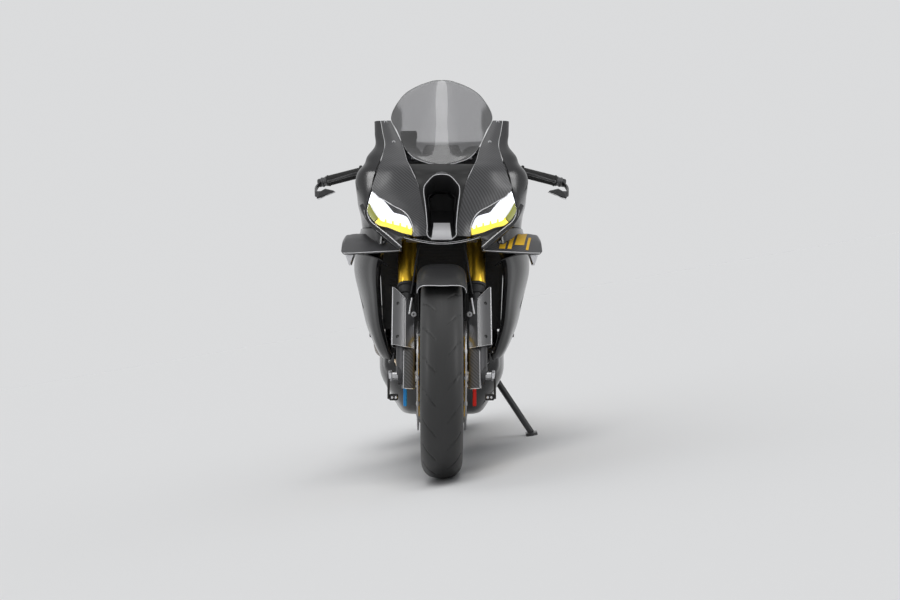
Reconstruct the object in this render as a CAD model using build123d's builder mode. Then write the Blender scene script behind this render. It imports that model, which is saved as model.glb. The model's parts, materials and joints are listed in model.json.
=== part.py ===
from build123d import *
import math
import os

# Sport motorcycle, in millimetres. It is drawn upright, with +Z up, the nose towards -Y and the
# rider's left towards +X, and y = 0 midway between the axles. Tables give s, the distance behind
# the front axle, and z above the road. PARKED then leans it onto its side stand.

os.makedirs("parts", exist_ok=True)

# ---- driving dimensions ----
WHEELBASE = 1457.0
LEAN = 10.0                    # degrees, towards the side stand
RAKE = 23.6                    # degrees, steering axis from the vertical
FORK_OFFSET = 28.6             # fork legs ahead of the steering axis
GAP = 0.3                      # between pieces that sit on each other
SKIN = 4.0                     # wall of the bodywork panels

FRONT_RADIUS = 300.0
FRONT_WIDTH = 120.0
FRONT_CROWN = 60.0             # radius of the tread's round section
FRONT_SEAT = 44.5              # half the rim's width between its flanges
REAR_RADIUS = 326.0
REAR_WIDTH = 200.0
REAR_CROWN = 100.0
REAR_SEAT = 76.0
BEAD_RADIUS = 0.72 * FRONT_RADIUS        # one rim size for both wheels
FLANGE = 11.0                  # height of the rim's flange
TYRE_WALL = 9.0

AXLE_RADIUS = 12.5
AXLE_BORE = 8.0
FRONT_AXLE_HALF = 146.0
REAR_AXLE_HALF = 166.0
HUB_RADIUS = 34.0
REAR_HUB_HALF = 78.0

FORK_X = 104.0                 # fork leg from the middle
FORK_OUTER = 28.5              # radius of the outer tube
FORK_INNER = 22.5
FORK_TOP = 750.0               # along the leg from the axle
FORK_LIP = 250.0
FOOT_TOP = 110.0
LOWER_YOKE = 455.0             # underside, along the leg
UPPER_YOKE = 690.0
YOKE_THICK = 30.0
STEM_RADIUS = 14.0
HEAD_RADIUS = 34.0

DISC_X = 69.0
DISC_RADIUS = 160.0
DISC_THICK = 4.5
FRONT_HUB_HALF = DISC_X - DISC_THICK / 2 - GAP
REAR_DISC_RADIUS = 110.0
REAR_DISC_X = -95.0

PIVOT_S = 851.0                # swingarm pivot
PIVOT_Z = 420.0
PLATE_INNER = 132.0            # inner face of the frame's pivot plates
PLATE_THICK = 28.0
SWINGARM_HALF = 104.0          # half the width of the swingarm at its pivot

PITCH = 15.875                 # of the chain
ROLLER = 5.1
REAR_TEETH = 48
FRONT_TEETH = 16
CHAIN_X = 117.0
COUNTER_S = 770.0              # gearbox output shaft
COUNTER_Z = 430.0
SPROCKET_THICK = 5.6

CRANK_S = 590.0
CRANK_Z = 430.0
CYLINDER_TILT = 32.0

BAR_RADIUS = 11.0
GRIP_RADIUS = 16.5

STAND_PIVOT = (150.0, 856.0, 306.0)      # x, s, z
STAND_FOOT = (312.0, 778.0)              # x, s of the foot on the road
STAND_AXIS = (1.0, 0.12, 0.34)

# ---- frames ----
FRONT_Y = -WHEELBASE / 2
REAR_S = WHEELBASE
LEAN_RAD = math.radians(LEAN)
RAKE_RAD = math.radians(RAKE)
REAR_Z = REAR_RADIUS + (REAR_CROWN - FRONT_CROWN) * (1 / math.cos(LEAN_RAD) - 1)
LIFT = FRONT_CROWN * (1 - math.cos(LEAN_RAD))
BAR_END_Z = 880.0
PARKED = Location(
    (-BAR_END_Z * math.sin(LEAN_RAD), (FRONT_RADIUS - REAR_RADIUS) / 2, LIFT), (0, LEAN, 0)
)


def point(x, s, z):
    return (x, FRONT_Y + s, z)


def side(x=0.0):
    """Upright plane along the machine: sketch points are (s, z), normal +X."""
    return Plane(origin=(x, FRONT_Y, 0), x_dir=(0, 1, 0), z_dir=(1, 0, 0))


def cross(s):
    """Upright plane across the machine: sketch points are (x, z), normal forwards."""
    return Plane(origin=(0, FRONT_Y + s, 0), x_dir=(1, 0, 0), z_dir=(0, -1, 0))


def level(z):
    """Flat plane: sketch points are (x, s), normal up."""
    return Plane(origin=(0, FRONT_Y, z), x_dir=(1, 0, 0), z_dir=(0, 0, 1))


AXIS_S = FORK_OFFSET * math.cos(RAKE_RAD)
AXIS_Z = FRONT_RADIUS - FORK_OFFSET * math.sin(RAKE_RAD)
STEER = Plane(
    origin=point(0, AXIS_S, AXIS_Z), x_dir=(1, 0, 0),
    z_dir=(0, math.sin(RAKE_RAD), math.cos(RAKE_RAD)),
)


def fork(h=0.0, y=0.0):
    """Plane square to the steering axis, h above the axle: sketch points are (x, back)."""
    return Plane(origin=STEER.from_local_coords((0, y, h)), x_dir=(1, 0, 0), z_dir=STEER.z_dir)


def fork_side(x=0.0):
    """Plane along the fork leg: sketch points are (back, h) from the steering axis."""
    return Plane(origin=STEER.from_local_coords((x, 0, 0)), x_dir=STEER.y_dir, z_dir=(1, 0, 0))


def wheel_plane(s, z):
    """Plane through a wheel's middle: sketch points are (x, radius upwards)."""
    return Plane(origin=point(0, s, z), x_dir=(1, 0, 0), z_dir=(0, -1, 0))


FRONT_AXIS = Axis(point(0, 0, FRONT_RADIUS), (1, 0, 0))
REAR_AXIS = Axis(point(0, REAR_S, REAR_Z), (1, 0, 0))


# ---- shared shapes ----
def prism(plane, outline, amount, corner=0.0):
    """Straight extrusion of an outline from its plane, its upright corners rounded."""
    with BuildPart() as piece:
        with BuildSketch(plane) as profile:
            with BuildLine():
                Polyline(*outline, close=True)
            make_face()
            if corner:
                fillet(profile.vertices(), corner)
        extrude(amount=amount)
    return piece.part


def skin_lofted(sections):
    """Solid whose flat outlines are joined by straight lines."""
    with BuildPart() as piece:
        for plane, outline in sections:
            with BuildSketch(plane):
                with BuildLine():
                    Polyline(*outline, close=True)
                make_face()
        loft(ruled=True)
    return piece.part


def walled(line, wall):
    """Closed outline of a wall that lies to the left of an open line, mitred at its corners."""
    inner = []
    count = len(line)
    for index, (u, v) in enumerate(line):
        ahead = line[min(index + 1, count - 1)]
        behind = line[max(index - 1, 0)]
        first = math.atan2(v - behind[1], u - behind[0]) if index else None
        second = math.atan2(ahead[1] - v, ahead[0] - u) if index < count - 1 else first
        first = second if first is None else first
        turn = math.atan2(math.sin(second - first), math.cos(second - first))
        normal = first + turn / 2 + math.pi / 2
        reach = wall / math.cos(turn / 2)
        inner.append((u + reach * math.cos(normal), v + reach * math.sin(normal)))
    return list(line) + inner[::-1]


def panel(sections, wall=SKIN):
    """Thin wall through open lines, each on its own plane."""
    return skin_lofted([(plane, walled(line, wall)) for plane, line in sections])


def pipe(points, radius, bend):
    """Round bar along straight runs joined by arcs."""
    with BuildPart() as piece:
        with BuildLine() as route:
            if len(points) == 2:
                Line(*points)
            else:
                FilletPolyline(*points, radius=bend)
        with BuildSketch(Plane(origin=route.line @ 0, z_dir=route.line % 0)):
            Circle(radius)
        sweep()
    return piece.part


def rod(start, end, radius, bore=0.0):
    """Round bar or bush between two points."""
    base = Plane(origin=start, z_dir=Vector(*end) - Vector(*start))
    with BuildPart() as piece:
        with BuildSketch(base):
            Circle(radius)
            if bore:
                Circle(bore, mode=Mode.SUBTRACT)
        extrude(amount=(Vector(*end) - Vector(*start)).length)
    return piece.part


def write(piece, name):
    """Set a piece down where it stands in the parked machine and write it."""
    placed = piece.part.moved(PARKED)
    placed.label = name
    export_step(placed, f"parts/{name}.step")


# ================= wheels =================
def tyre(plane, axis, radius, crown, half, seat):
    """Tyre: round tread, side walls down to the bead inside the rim's flanges."""
    shoulder = half * 0.92
    shoulder_radius = radius - crown + math.sqrt(crown ** 2 - shoulder ** 2)
    bead = BEAD_RADIUS + GAP
    lip = BEAD_RADIUS + FLANGE + 1.0
    with BuildPart() as piece:
        with BuildSketch(plane):
            with BuildLine():
                ThreePointArc((-shoulder, shoulder_radius), (0, radius), (shoulder, shoulder_radius))
                Polyline(
                    (shoulder, shoulder_radius), (half, shoulder_radius - 14), (seat + 8, lip),
                    (seat - GAP, lip), (seat - GAP, bead), (seat - 12, bead),
                    (shoulder - TYRE_WALL, shoulder_radius - 6),
                )
                ThreePointArc(
                    (shoulder - TYRE_WALL, shoulder_radius - 6), (0, radius - TYRE_WALL),
                    (TYRE_WALL - shoulder, shoulder_radius - 6),
                )
                Polyline(
                    (TYRE_WALL - shoulder, shoulder_radius - 6), (12 - seat, bead),
                    (GAP - seat, bead), (GAP - seat, lip), (-seat - 8, lip),
                    (-half, shoulder_radius - 14), (-shoulder, shoulder_radius),
                )
            make_face()
        revolve(axis=axis)
    return piece.part


with BuildPart() as front_tyre:
    add(tyre(wheel_plane(0, FRONT_RADIUS), FRONT_AXIS, FRONT_RADIUS, FRONT_CROWN,
             FRONT_WIDTH / 2, FRONT_SEAT))
write(front_tyre, "front_tyre")

with BuildPart() as rear_tyre:
    add(tyre(wheel_plane(REAR_S, REAR_Z), REAR_AXIS, REAR_RADIUS, REAR_CROWN,
             REAR_WIDTH / 2, REAR_SEAT))
write(rear_tyre, "rear_tyre")


SPOKES = 5
SPOKE_THICK = 26.0


def rim(plane, axis, seat, hub_half, centre):
    """Forged rim: barrel with flanges, five forked spokes and a bored hub."""
    well = 18.0
    face = seat + 4.5
    with BuildPart() as piece:
        with BuildSketch(plane):
            with BuildLine():
                Polyline(
                    (-face, BEAD_RADIUS + FLANGE), (-seat, BEAD_RADIUS + FLANGE), (-seat, BEAD_RADIUS),
                    (-seat + 16, BEAD_RADIUS), (-seat + 24, BEAD_RADIUS - well),
                    (seat - 24, BEAD_RADIUS - well), (seat - 16, BEAD_RADIUS), (seat, BEAD_RADIUS),
                    (seat, BEAD_RADIUS + FLANGE), (face, BEAD_RADIUS + FLANGE),
                    (face, BEAD_RADIUS - 4), (seat - 26, BEAD_RADIUS - well - 6),
                    (26 - seat, BEAD_RADIUS - well - 6), (-face, BEAD_RADIUS - 4), close=True,
                )
            make_face()
        revolve(axis=axis)
        with BuildSketch(plane):
            with Locations(((0, (HUB_RADIUS + AXLE_RADIUS + GAP) / 2))):
                Rectangle(2 * hub_half, HUB_RADIUS - AXLE_RADIUS - GAP)
        revolve(axis=axis)
        wheel = Plane(origin=axis.position, x_dir=(0, 1, 0), z_dir=(1, 0, 0))
        outer = BEAD_RADIUS - well - 4
        with BuildSketch(wheel.offset(centre - SPOKE_THICK / 2)):
            with PolarLocations(0, SPOKES):
                for hand in (1, -1):
                    with BuildLine():
                        Polyline(
                            (HUB_RADIUS - 6, 0), (HUB_RADIUS - 6, hand * 15), (105, hand * 13),
                            (outer, hand * 56), (outer, hand * 36), (118, 0), close=True,
                        )
                    make_face()
        extrude(amount=SPOKE_THICK)
    return piece.part


with BuildPart() as front_rim:
    add(rim(wheel_plane(0, FRONT_RADIUS), FRONT_AXIS, FRONT_SEAT, FRONT_HUB_HALF, 0.0))
write(front_rim, "front_rim")

with BuildPart() as rear_rim:
    add(rim(wheel_plane(REAR_S, REAR_Z), REAR_AXIS, REAR_SEAT, REAR_HUB_HALF, 0.0))
    sprocket_face = CHAIN_X - SPROCKET_THICK / 2 - GAP
    with BuildSketch(Plane(origin=REAR_AXIS.position, x_dir=(0, 1, 0), z_dir=(1, 0, 0)).offset(REAR_HUB_HALF)):
        Circle(52)
        Circle(AXLE_RADIUS + GAP, mode=Mode.SUBTRACT)
    extrude(amount=sprocket_face - REAR_HUB_HALF)
    disc_face = REAR_DISC_X + DISC_THICK / 2 + 1.5 + GAP
    with BuildSketch(Plane(origin=REAR_AXIS.position, x_dir=(0, 1, 0), z_dir=(1, 0, 0)).offset(disc_face)):
        Circle(40)
        Circle(AXLE_RADIUS + GAP, mode=Mode.SUBTRACT)
    extrude(amount=-REAR_HUB_HALF + 4 - disc_face)
write(rear_rim, "rear_rim")


def disc_part(axis, x, radius, band, hub, arms):
    """Brake disc: outer band on a spider of radial arms."""
    wheel = Plane(origin=axis.position, x_dir=(0, 1, 0), z_dir=(1, 0, 0)).offset(x)
    with BuildPart() as piece:
        with BuildSketch(wheel.offset(-DISC_THICK / 2)):
            Circle(radius)
            Circle(radius - band, mode=Mode.SUBTRACT)
        extrude(amount=DISC_THICK)
        with BuildSketch(wheel.offset(-DISC_THICK / 2)):
            Circle(hub + 22)
            with PolarLocations(0, arms):
                with Locations(((radius - band + hub) / 2 + 1, 0)):
                    Rectangle(radius - band - hub + 2, 14)
            Circle(hub, mode=Mode.SUBTRACT)
        extrude(amount=DISC_THICK + 1.5)
    return piece.part


with BuildPart() as front_discs:
    add(disc_part(FRONT_AXIS, DISC_X, DISC_RADIUS, 34.0, HUB_RADIUS - 12, 10))
    mirror(about=Plane.YZ)
write(front_discs, "front_discs")

with BuildPart() as rear_disc:
    add(disc_part(REAR_AXIS, REAR_DISC_X, REAR_DISC_RADIUS, 30.0, HUB_RADIUS - 12, 6))
write(rear_disc, "rear_disc")


# ================= chain and sprockets =================
def pitch_radius(teeth):
    return PITCH / (2 * math.sin(math.pi / teeth))


REAR_PITCH = pitch_radius(REAR_TEETH)
FRONT_PITCH = pitch_radius(FRONT_TEETH)
RUN_S = REAR_S - COUNTER_S
RUN_Z = REAR_Z - COUNTER_Z
RUN = math.hypot(RUN_S, RUN_Z)
RUN_ANGLE = math.atan2(RUN_Z, RUN_S)
WRAP = math.asin((REAR_PITCH - FRONT_PITCH) / RUN)


def gear(centre, teeth, phase, bore, spokes):
    """Sprocket with one gap for every roller; phase is the angle of its first gap."""
    radius = pitch_radius(teeth)
    outline = []
    for tooth in range(teeth):
        middle = phase + 2 * math.pi * tooth / teeth
        for across, out in ((-6.8, 4.0), (-3.8, -5.6), (3.8, -5.6), (6.8, 4.0)):
            angle = middle + across / radius
            outline.append(((radius + out) * math.cos(angle), (radius + out) * math.sin(angle)))
    face = Plane(origin=centre, x_dir=(0, 1, 0), z_dir=(1, 0, 0)).offset(-SPROCKET_THICK / 2)
    with BuildPart() as piece:
        with BuildSketch(face):
            with BuildLine():
                Polyline(*outline, close=True)
            make_face()
            Circle(bore, mode=Mode.SUBTRACT)
            if spokes:
                with PolarLocations((radius + 52) / 2, spokes):
                    Circle((radius - 52) / 2 - 14, mode=Mode.SUBTRACT)
        extrude(amount=SPROCKET_THICK)
    return piece.part


# The chain's upper run starts at the rear sprocket, at this angle from straight back.
UPPER_ANGLE = RUN_ANGLE + math.pi / 2 + WRAP
LOWER_ANGLE = RUN_ANGLE - math.pi / 2 - WRAP
STRAIGHT = RUN * math.cos(WRAP)
REAR_ARC = REAR_PITCH * (math.pi + 2 * WRAP)
FRONT_ARC = FRONT_PITCH * (math.pi - 2 * WRAP)
LOOP = 2 * STRAIGHT + REAR_ARC + FRONT_ARC
LINKS = 2 * round(LOOP / PITCH / 2)


def on_loop(distance, out=0.0):
    """Point of the chain's loop, starting where it meets the rear sprocket from above."""
    distance = distance % LOOP
    if distance < REAR_ARC:
        angle = UPPER_ANGLE - distance / REAR_PITCH
        radius = REAR_PITCH + out
        return (REAR_S + radius * math.cos(angle), REAR_Z + radius * math.sin(angle))
    distance -= REAR_ARC
    if distance < STRAIGHT:
        radius = REAR_PITCH + out
        start = (REAR_S + radius * math.cos(LOWER_ANGLE), REAR_Z + radius * math.sin(LOWER_ANGLE))
        forwards = LOWER_ANGLE - math.pi / 2
        return (start[0] + distance * math.cos(forwards), start[1] + distance * math.sin(forwards))
    distance -= STRAIGHT
    if distance < FRONT_ARC:
        angle = LOWER_ANGLE - distance / FRONT_PITCH
        radius = FRONT_PITCH + out
        return (COUNTER_S + radius * math.cos(angle), COUNTER_Z + radius * math.sin(angle))
    distance -= FRONT_ARC
    radius = FRONT_PITCH + out
    start = (COUNTER_S + radius * math.cos(UPPER_ANGLE), COUNTER_Z + radius * math.sin(UPPER_ANGLE))
    backwards = UPPER_ANGLE - math.pi / 2
    return (start[0] + distance * math.cos(backwards), start[1] + distance * math.sin(backwards))


STEP = LOOP / LINKS
FRONT_START = (REAR_ARC + STRAIGHT) / STEP
FRONT_FIRST = (math.ceil(FRONT_START) - FRONT_START) * STEP
FRONT_PHASE = LOWER_ANGLE - FRONT_FIRST / FRONT_PITCH

with BuildPart() as rear_sprocket:
    add(gear(point(CHAIN_X, REAR_S, REAR_Z), REAR_TEETH, UPPER_ANGLE, HUB_RADIUS, 6))
write(rear_sprocket, "rear_sprocket")

with BuildPart() as front_sprocket:
    add(gear(point(CHAIN_X, COUNTER_S, COUNTER_Z), FRONT_TEETH, FRONT_PHASE, 12 + GAP, 0))
write(front_sprocket, "front_sprocket")

PLATE_HALF = 4.4               # half the height of the chain's inner plates
LINK_HALF = 6.2                # half the height of its outer plates
INNER_FACE = SPROCKET_THICK / 2 + 1.2
BAND = 2.0

pins = [on_loop(index * STEP) for index in range(LINKS)]


def outer_plate(first, second):
    """Eight-sided outer plate over two neighbouring pins."""
    middle = Vector((first[0] + second[0]) / 2, (first[1] + second[1]) / 2)
    along = Vector(second[0] - first[0], second[1] - first[1]).normalized()
    across = Vector(-along.Y, along.X)
    corners = [
        middle + along * u + across * v
        for u, v in ((-13.5, -3), (-9.5, -LINK_HALF), (9.5, -LINK_HALF), (13.5, -3),
                     (13.5, 3), (9.5, LINK_HALF), (-9.5, LINK_HALF), (-13.5, 3))
    ]
    return [(corner.X, corner.Y) for corner in corners]


with BuildPart() as drive_chain:
    for hand in (1, -1):
        inner = CHAIN_X + hand * INNER_FACE
        with BuildSketch(side(inner)):
            with BuildLine():
                Polyline(*[on_loop(index * STEP, PLATE_HALF) for index in range(LINKS)], close=True)
            make_face()
            with BuildLine():
                Polyline(*[on_loop(index * STEP, -PLATE_HALF) for index in range(LINKS)], close=True)
            make_face(mode=Mode.SUBTRACT)
        extrude(amount=hand * BAND)
        with BuildSketch(side(inner + hand * BAND)):
            for index in range(0, LINKS, 2):
                with BuildLine():
                    Polyline(*outer_plate(pins[index], pins[(index + 1) % LINKS]), close=True)
                make_face()
        extrude(amount=hand * BAND)
    with BuildSketch(side(CHAIN_X - INNER_FACE)):
        with Locations(*pins):
            RegularPolygon(ROLLER - 0.2, 6)
    extrude(amount=2 * INNER_FACE)
write(drive_chain, "drive_chain")


# ================= front end, on the steering axis =================
LEG = (FORK_X, -FORK_OFFSET)
FOOT_INNER = 79.0              # inner face of the fork foot, clear of the disc

with BuildPart() as fork_tubes:
    with BuildSketch(fork(FOOT_TOP - 60)):
        with Locations(LEG):
            Circle(FORK_INNER)
    extrude(amount=FORK_LIP - FOOT_TOP + 60)
    with BuildSketch(fork(FORK_LIP)):
        with Locations(LEG):
            Circle(FORK_OUTER)
    extrude(amount=FORK_TOP - FORK_LIP)
    with BuildSketch(fork(FORK_TOP)):
        with Locations(LEG):
            RegularPolygon(FORK_OUTER - 6, 6)
    extrude(amount=10)
    mirror(about=Plane.YZ)
write(fork_tubes, "fork_tubes")

with BuildPart() as fork_feet:
    with BuildSketch(fork(-2)):
        with Locations(LEG):
            Circle(FORK_INNER + 8)
    extrude(amount=FOOT_TOP + 2)
    with BuildSketch(side(FOOT_INNER)):
        with Locations((0, FRONT_RADIUS)):
            Circle(28)
    extrude(amount=FORK_X + 24 - FOOT_INNER)
    lug = [(10, 30), (88, 20), (138, 50), (128, 74), (80, 128), (18, 106)]
    add(prism(fork_side(DISC_X + 13 + GAP), [(back - FORK_OFFSET, h) for back, h in lug], 14))
    with BuildSketch(fork(FOOT_TOP - 60)):
        with Locations(LEG):
            Circle(FORK_INNER + GAP)
    extrude(amount=80, mode=Mode.SUBTRACT)
    with BuildSketch(side(0)):
        with Locations((0, FRONT_RADIUS)):
            Rectangle(400, 400)
    extrude(amount=FOOT_INNER, mode=Mode.SUBTRACT)
    with BuildSketch(side(0)):
        with Locations((0, FRONT_RADIUS)):
            Circle(AXLE_RADIUS + GAP)
    extrude(amount=200, mode=Mode.SUBTRACT)
    mirror(about=Plane.YZ)
write(fork_feet, "fork_feet")

with BuildPart() as front_axle:
    for start, end, radius in (
        (-FRONT_AXLE_HALF, FRONT_AXLE_HALF, AXLE_RADIUS),
        (FRONT_HUB_HALF + GAP, FOOT_INNER - GAP, 16.5),
        (GAP - FOOT_INNER, -FRONT_HUB_HALF - GAP, 16.5),
    ):
        with BuildSketch(side(start)):
            with Locations((0, FRONT_RADIUS)):
                Circle(radius)
        extrude(amount=end - start)
    with BuildSketch(side(-FRONT_AXLE_HALF)):
        with Locations((0, FRONT_RADIUS)):
            Circle(AXLE_BORE)
    extrude(amount=2 * FRONT_AXLE_HALF, mode=Mode.SUBTRACT)
write(front_axle, "front_axle")

with BuildPart() as triple_clamps:
    for base, front, back in ((LOWER_YOKE, 46, 34), (UPPER_YOKE, 40, 30)):
        with BuildSketch(fork(base)):
            with BuildLine():
                Polyline(
                    (FORK_X + 30, -FORK_OFFSET - 34), (FORK_X + 38, -FORK_OFFSET), (FORK_X + 30, -FORK_OFFSET + 34),
                    (FORK_X - 40, -FORK_OFFSET + 38), (30, back), (-30, back), (40 - FORK_X, -FORK_OFFSET + 38),
                    (-FORK_X - 30, -FORK_OFFSET + 34), (-FORK_X - 38, -FORK_OFFSET), (-FORK_X - 30, -FORK_OFFSET - 34),
                    (40 - FORK_X, -FORK_OFFSET - 36), (-24, -front + 12), (24, -front + 12),
                    (FORK_X - 40, -FORK_OFFSET - 36), close=True,
                )
            make_face()
            with Locations(LEG, (-LEG[0], LEG[1])):
                Circle(FORK_OUTER + GAP, mode=Mode.SUBTRACT)
        extrude(amount=YOKE_THICK)
    with BuildSketch(fork(LOWER_YOKE)):
        Circle(STEM_RADIUS)
    extrude(amount=UPPER_YOKE - LOWER_YOKE + YOKE_THICK + 12)
write(triple_clamps, "triple_clamps")

BAR_START = (92.0, 340.0, 968.0)
BAR_END = (382.0, 393.0, 899.0)
bar_vector = Vector(*[b - a for a, b in zip(BAR_START, BAR_END)])
BAR_LENGTH = bar_vector.length


def on_bar(distance):
    """Point of the left handlebar's axis, at a distance from its inner end."""
    share = distance / BAR_LENGTH
    x, s, z = [a + share * (b - a) for a, b in zip(BAR_START, BAR_END)]
    return point(x, s, z)


CLAMP_BASE = UPPER_YOKE + YOKE_THICK + GAP
with BuildPart() as handlebars:
    with BuildSketch(fork(CLAMP_BASE)):
        with Locations(LEG):
            Circle(FORK_OUTER + 9)
        with Locations((FORK_X, -FORK_OFFSET + 34)):
            Rectangle(40, 24)
    extrude(amount=FORK_TOP - CLAMP_BASE - 2)
    add(rod(on_bar(-8), on_bar(36), 18))
    with BuildSketch(fork(CLAMP_BASE - 5)):
        with Locations(LEG):
            Circle(FORK_OUTER + GAP)
    extrude(amount=60, mode=Mode.SUBTRACT)
    add(rod(on_bar(0), on_bar(BAR_LENGTH), BAR_RADIUS))
    mirror(about=Plane.YZ)
write(handlebars, "handlebars")

GRIP_START = 172.0
GRIP_LENGTH = 112.0
with BuildPart() as grips:
    add(rod(on_bar(GRIP_START), on_bar(GRIP_START + GRIP_LENGTH), GRIP_RADIUS, BAR_RADIUS + GAP))
    add(rod(on_bar(GRIP_START - 6), on_bar(GRIP_START), GRIP_RADIUS + 5, BAR_RADIUS + GAP))
    mirror(about=Plane.YZ)
write(grips, "grips")

LEVER_FORWARD = 68.0
with BuildPart() as levers:
    add(rod(on_bar(GRIP_START - 34), on_bar(GRIP_START - 12), BAR_RADIUS + 7, BAR_RADIUS + GAP))
    pivot = Vector(*on_bar(GRIP_START - 26)) + Vector(0, -LEVER_FORWARD + 22, -6)
    tip = Vector(*on_bar(GRIP_START + GRIP_LENGTH - 6)) + Vector(0, -LEVER_FORWARD, -8)
    knee = Vector(*on_bar(GRIP_START + 20)) + Vector(0, -LEVER_FORWARD - 4, -6)
    root = Vector(*on_bar(GRIP_START - 23)) + Vector(0, -BAR_RADIUS - 4, -2)
    add(rod(root, pivot, 8))
    add(pipe([pivot, knee, tip], 5.5, 60))
    mirror(about=Plane.YZ)
write(levers, "levers")

with BuildPart() as lever_guards:
    clamp = on_bar(BAR_LENGTH)
    elbow = Vector(*clamp) + Vector(10, -72, -26)
    nose = Vector(*clamp) + Vector(-40, -118, -30)
    add(rod(on_bar(BAR_LENGTH + GAP), on_bar(BAR_LENGTH + 14), 14))
    add(pipe([on_bar(BAR_LENGTH + 8), elbow, nose], 6.5, 28))
    mirror(about=Plane.YZ)
write(lever_guards, "lever_guards")

RESERVOIR = (-103.0, -62.0)     # on the fork's plane, ahead of the right leg
with BuildPart() as brake_reservoir:
    with BuildSketch(fork(FORK_TOP + 12)):
        with Locations(RESERVOIR):
            RectangleRounded(52, 44, 8)
    extrude(amount=44)
    with BuildSketch(fork(CLAMP_BASE)):
        with Locations((-FORK_X, -FORK_OFFSET - FORK_OUTER - 9 - 8 - GAP)):
            Rectangle(14, 16)
    extrude(amount=FORK_TOP + 12 - CLAMP_BASE)
write(brake_reservoir, "brake_reservoir")

CALIPER_TURN = 50.0
with BuildPart() as front_calipers:
    turn = math.radians(90 - CALIPER_TURN)
    along = (math.sin(turn), -math.cos(turn))
    out = (math.cos(turn), math.sin(turn))
    outline = [
        (-FORK_OFFSET + out[0] * r + along[0] * t, out[1] * r + along[1] * t)
        for t, r in ((-62, 138), (-44, 130), (44, 130), (62, 138), (56, 176), (30, 186), (-30, 186), (-56, 176))
    ]
    add(prism(fork_side(46), outline, 34, 6))
    add(prism(fork_side(DISC_X), outline, 13, 6))
    with BuildSketch(side(DISC_X - 4.2)):
        with Locations((0, FRONT_RADIUS)):
            Circle(DISC_RADIUS + 6)
    extrude(amount=8.4, mode=Mode.SUBTRACT)
    mirror(about=Plane.YZ)
write(front_calipers, "front_calipers")

GUARD_RADIUS = FRONT_RADIUS + 25
GUARD_HALF = 70.7
GUARD_FRONT = 32.5             # degrees ahead of the axle
GUARD_BACK = 58.0
with BuildPart() as front_mudguard:
    line = [(GUARD_HALF, GUARD_RADIUS - 43), (GUARD_HALF - 4, GUARD_RADIUS - 19), (46, GUARD_RADIUS - 4),
            (20, GUARD_RADIUS), (-20, GUARD_RADIUS), (-46, GUARD_RADIUS - 4), (4 - GUARD_HALF, GUARD_RADIUS - 19),
            (-GUARD_HALF, GUARD_RADIUS - 43)]
    start = Plane(
        origin=point(0, 0, FRONT_RADIUS), x_dir=(1, 0, 0),
        z_dir=(0, -math.cos(math.radians(GUARD_FRONT)), -math.sin(math.radians(GUARD_FRONT))),
    )
    with BuildSketch(start):
        with BuildLine():
            Polyline(*walled(line, 3.0), close=True)
        make_face()
    revolve(axis=FRONT_AXIS, revolution_arc=-(GUARD_FRONT + GUARD_BACK))
write(front_mudguard, "front_mudguard")

DUCT = (
    # height along the leg, then each corner's angle about the leg and its distance from the leg
    (84, ((228, 38), (250, 46), (280, 48), (312, 42), (340, 40))),
    (150, ((226, 37), (250, 46), (290, 48), (330, 42), (10, 40))),
    (FORK_LIP + 20, ((196, 34.3), (258, 43), (312, 43), (350, 40), (20, 40))),
    (FORK_LIP + 36, ((200, 35), (258, 40), (312, 40), (346, 38), (12, 38))),
)


def about_leg(angle, distance):
    """Point beside the left fork leg; 270 degrees is straight ahead of it."""
    turn = math.radians(angle)
    return (FORK_X + distance * math.cos(turn), -FORK_OFFSET + distance * math.sin(turn))


with BuildPart() as brake_ducts:
    add(panel([(fork(h), [about_leg(*corner) for corner in corners]) for h, corners in DUCT], 3.0))
    mirror(about=Plane.YZ)
write(brake_ducts, "brake_ducts")


# ================= frame, engine and fixed running gear =================
PLATE_LOW = 345.0
CROSS_TUBE = (812.0, 590.0)    # s, z of the tube between the spars that carries the shock
CROSS_RADIUS = 18.0
SPAR = (
    # s, middle of the spar's wall from the centre line, lower edge, upper edge
    (258, 26, 800, 905),
    (325, 52, 788, 885),
    (380, 98, 780, 866),
    (450, 140, 774, 855),
    (560, 158, 724, 822),
    (660, 160, 612, 760),
    (760, PLATE_INNER + PLATE_THICK / 2, 450, 665),
    (826, PLATE_INNER + PLATE_THICK / 2, PLATE_LOW, 598),
    (882, PLATE_INNER + PLATE_THICK / 2, PLATE_LOW, 520),
    (905, PLATE_INNER + PLATE_THICK / 2, 380, 470),
)
HEAD_LOW = LOWER_YOKE + YOKE_THICK + 0.6
HEAD_HIGH = UPPER_YOKE - 0.6
with BuildPart() as main_frame:
    half = PLATE_THICK / 2
    add(skin_lofted([
        (cross(s), [(x - half, low), (x + half, low), (x + half, high), (x - half, high)])
        for s, x, low, high in SPAR
    ]))
    add(rod(point(SWINGARM_HALF + GAP, PIVOT_S, PIVOT_Z), point(PLATE_INNER + 1, PIVOT_S, PIVOT_Z), 24))
    mirror(about=Plane.YZ)
    add(rod(point(-PLATE_INNER - 1, *CROSS_TUBE), point(PLATE_INNER + 1, *CROSS_TUBE), CROSS_RADIUS))
    with BuildSketch(fork(HEAD_LOW)):
        Circle(HEAD_RADIUS)
    extrude(amount=HEAD_HIGH - HEAD_LOW)
    with BuildSketch(fork(HEAD_LOW - 1)):
        Circle(STEM_RADIUS + GAP)
    extrude(amount=HEAD_HIGH - HEAD_LOW + 2, mode=Mode.SUBTRACT)
    with BuildSketch(side(-200)):
        with Locations((PIVOT_S, PIVOT_Z)):
            Circle(AXLE_RADIUS + GAP)
    extrude(amount=400, mode=Mode.SUBTRACT)
write(main_frame, "main_frame")

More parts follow.
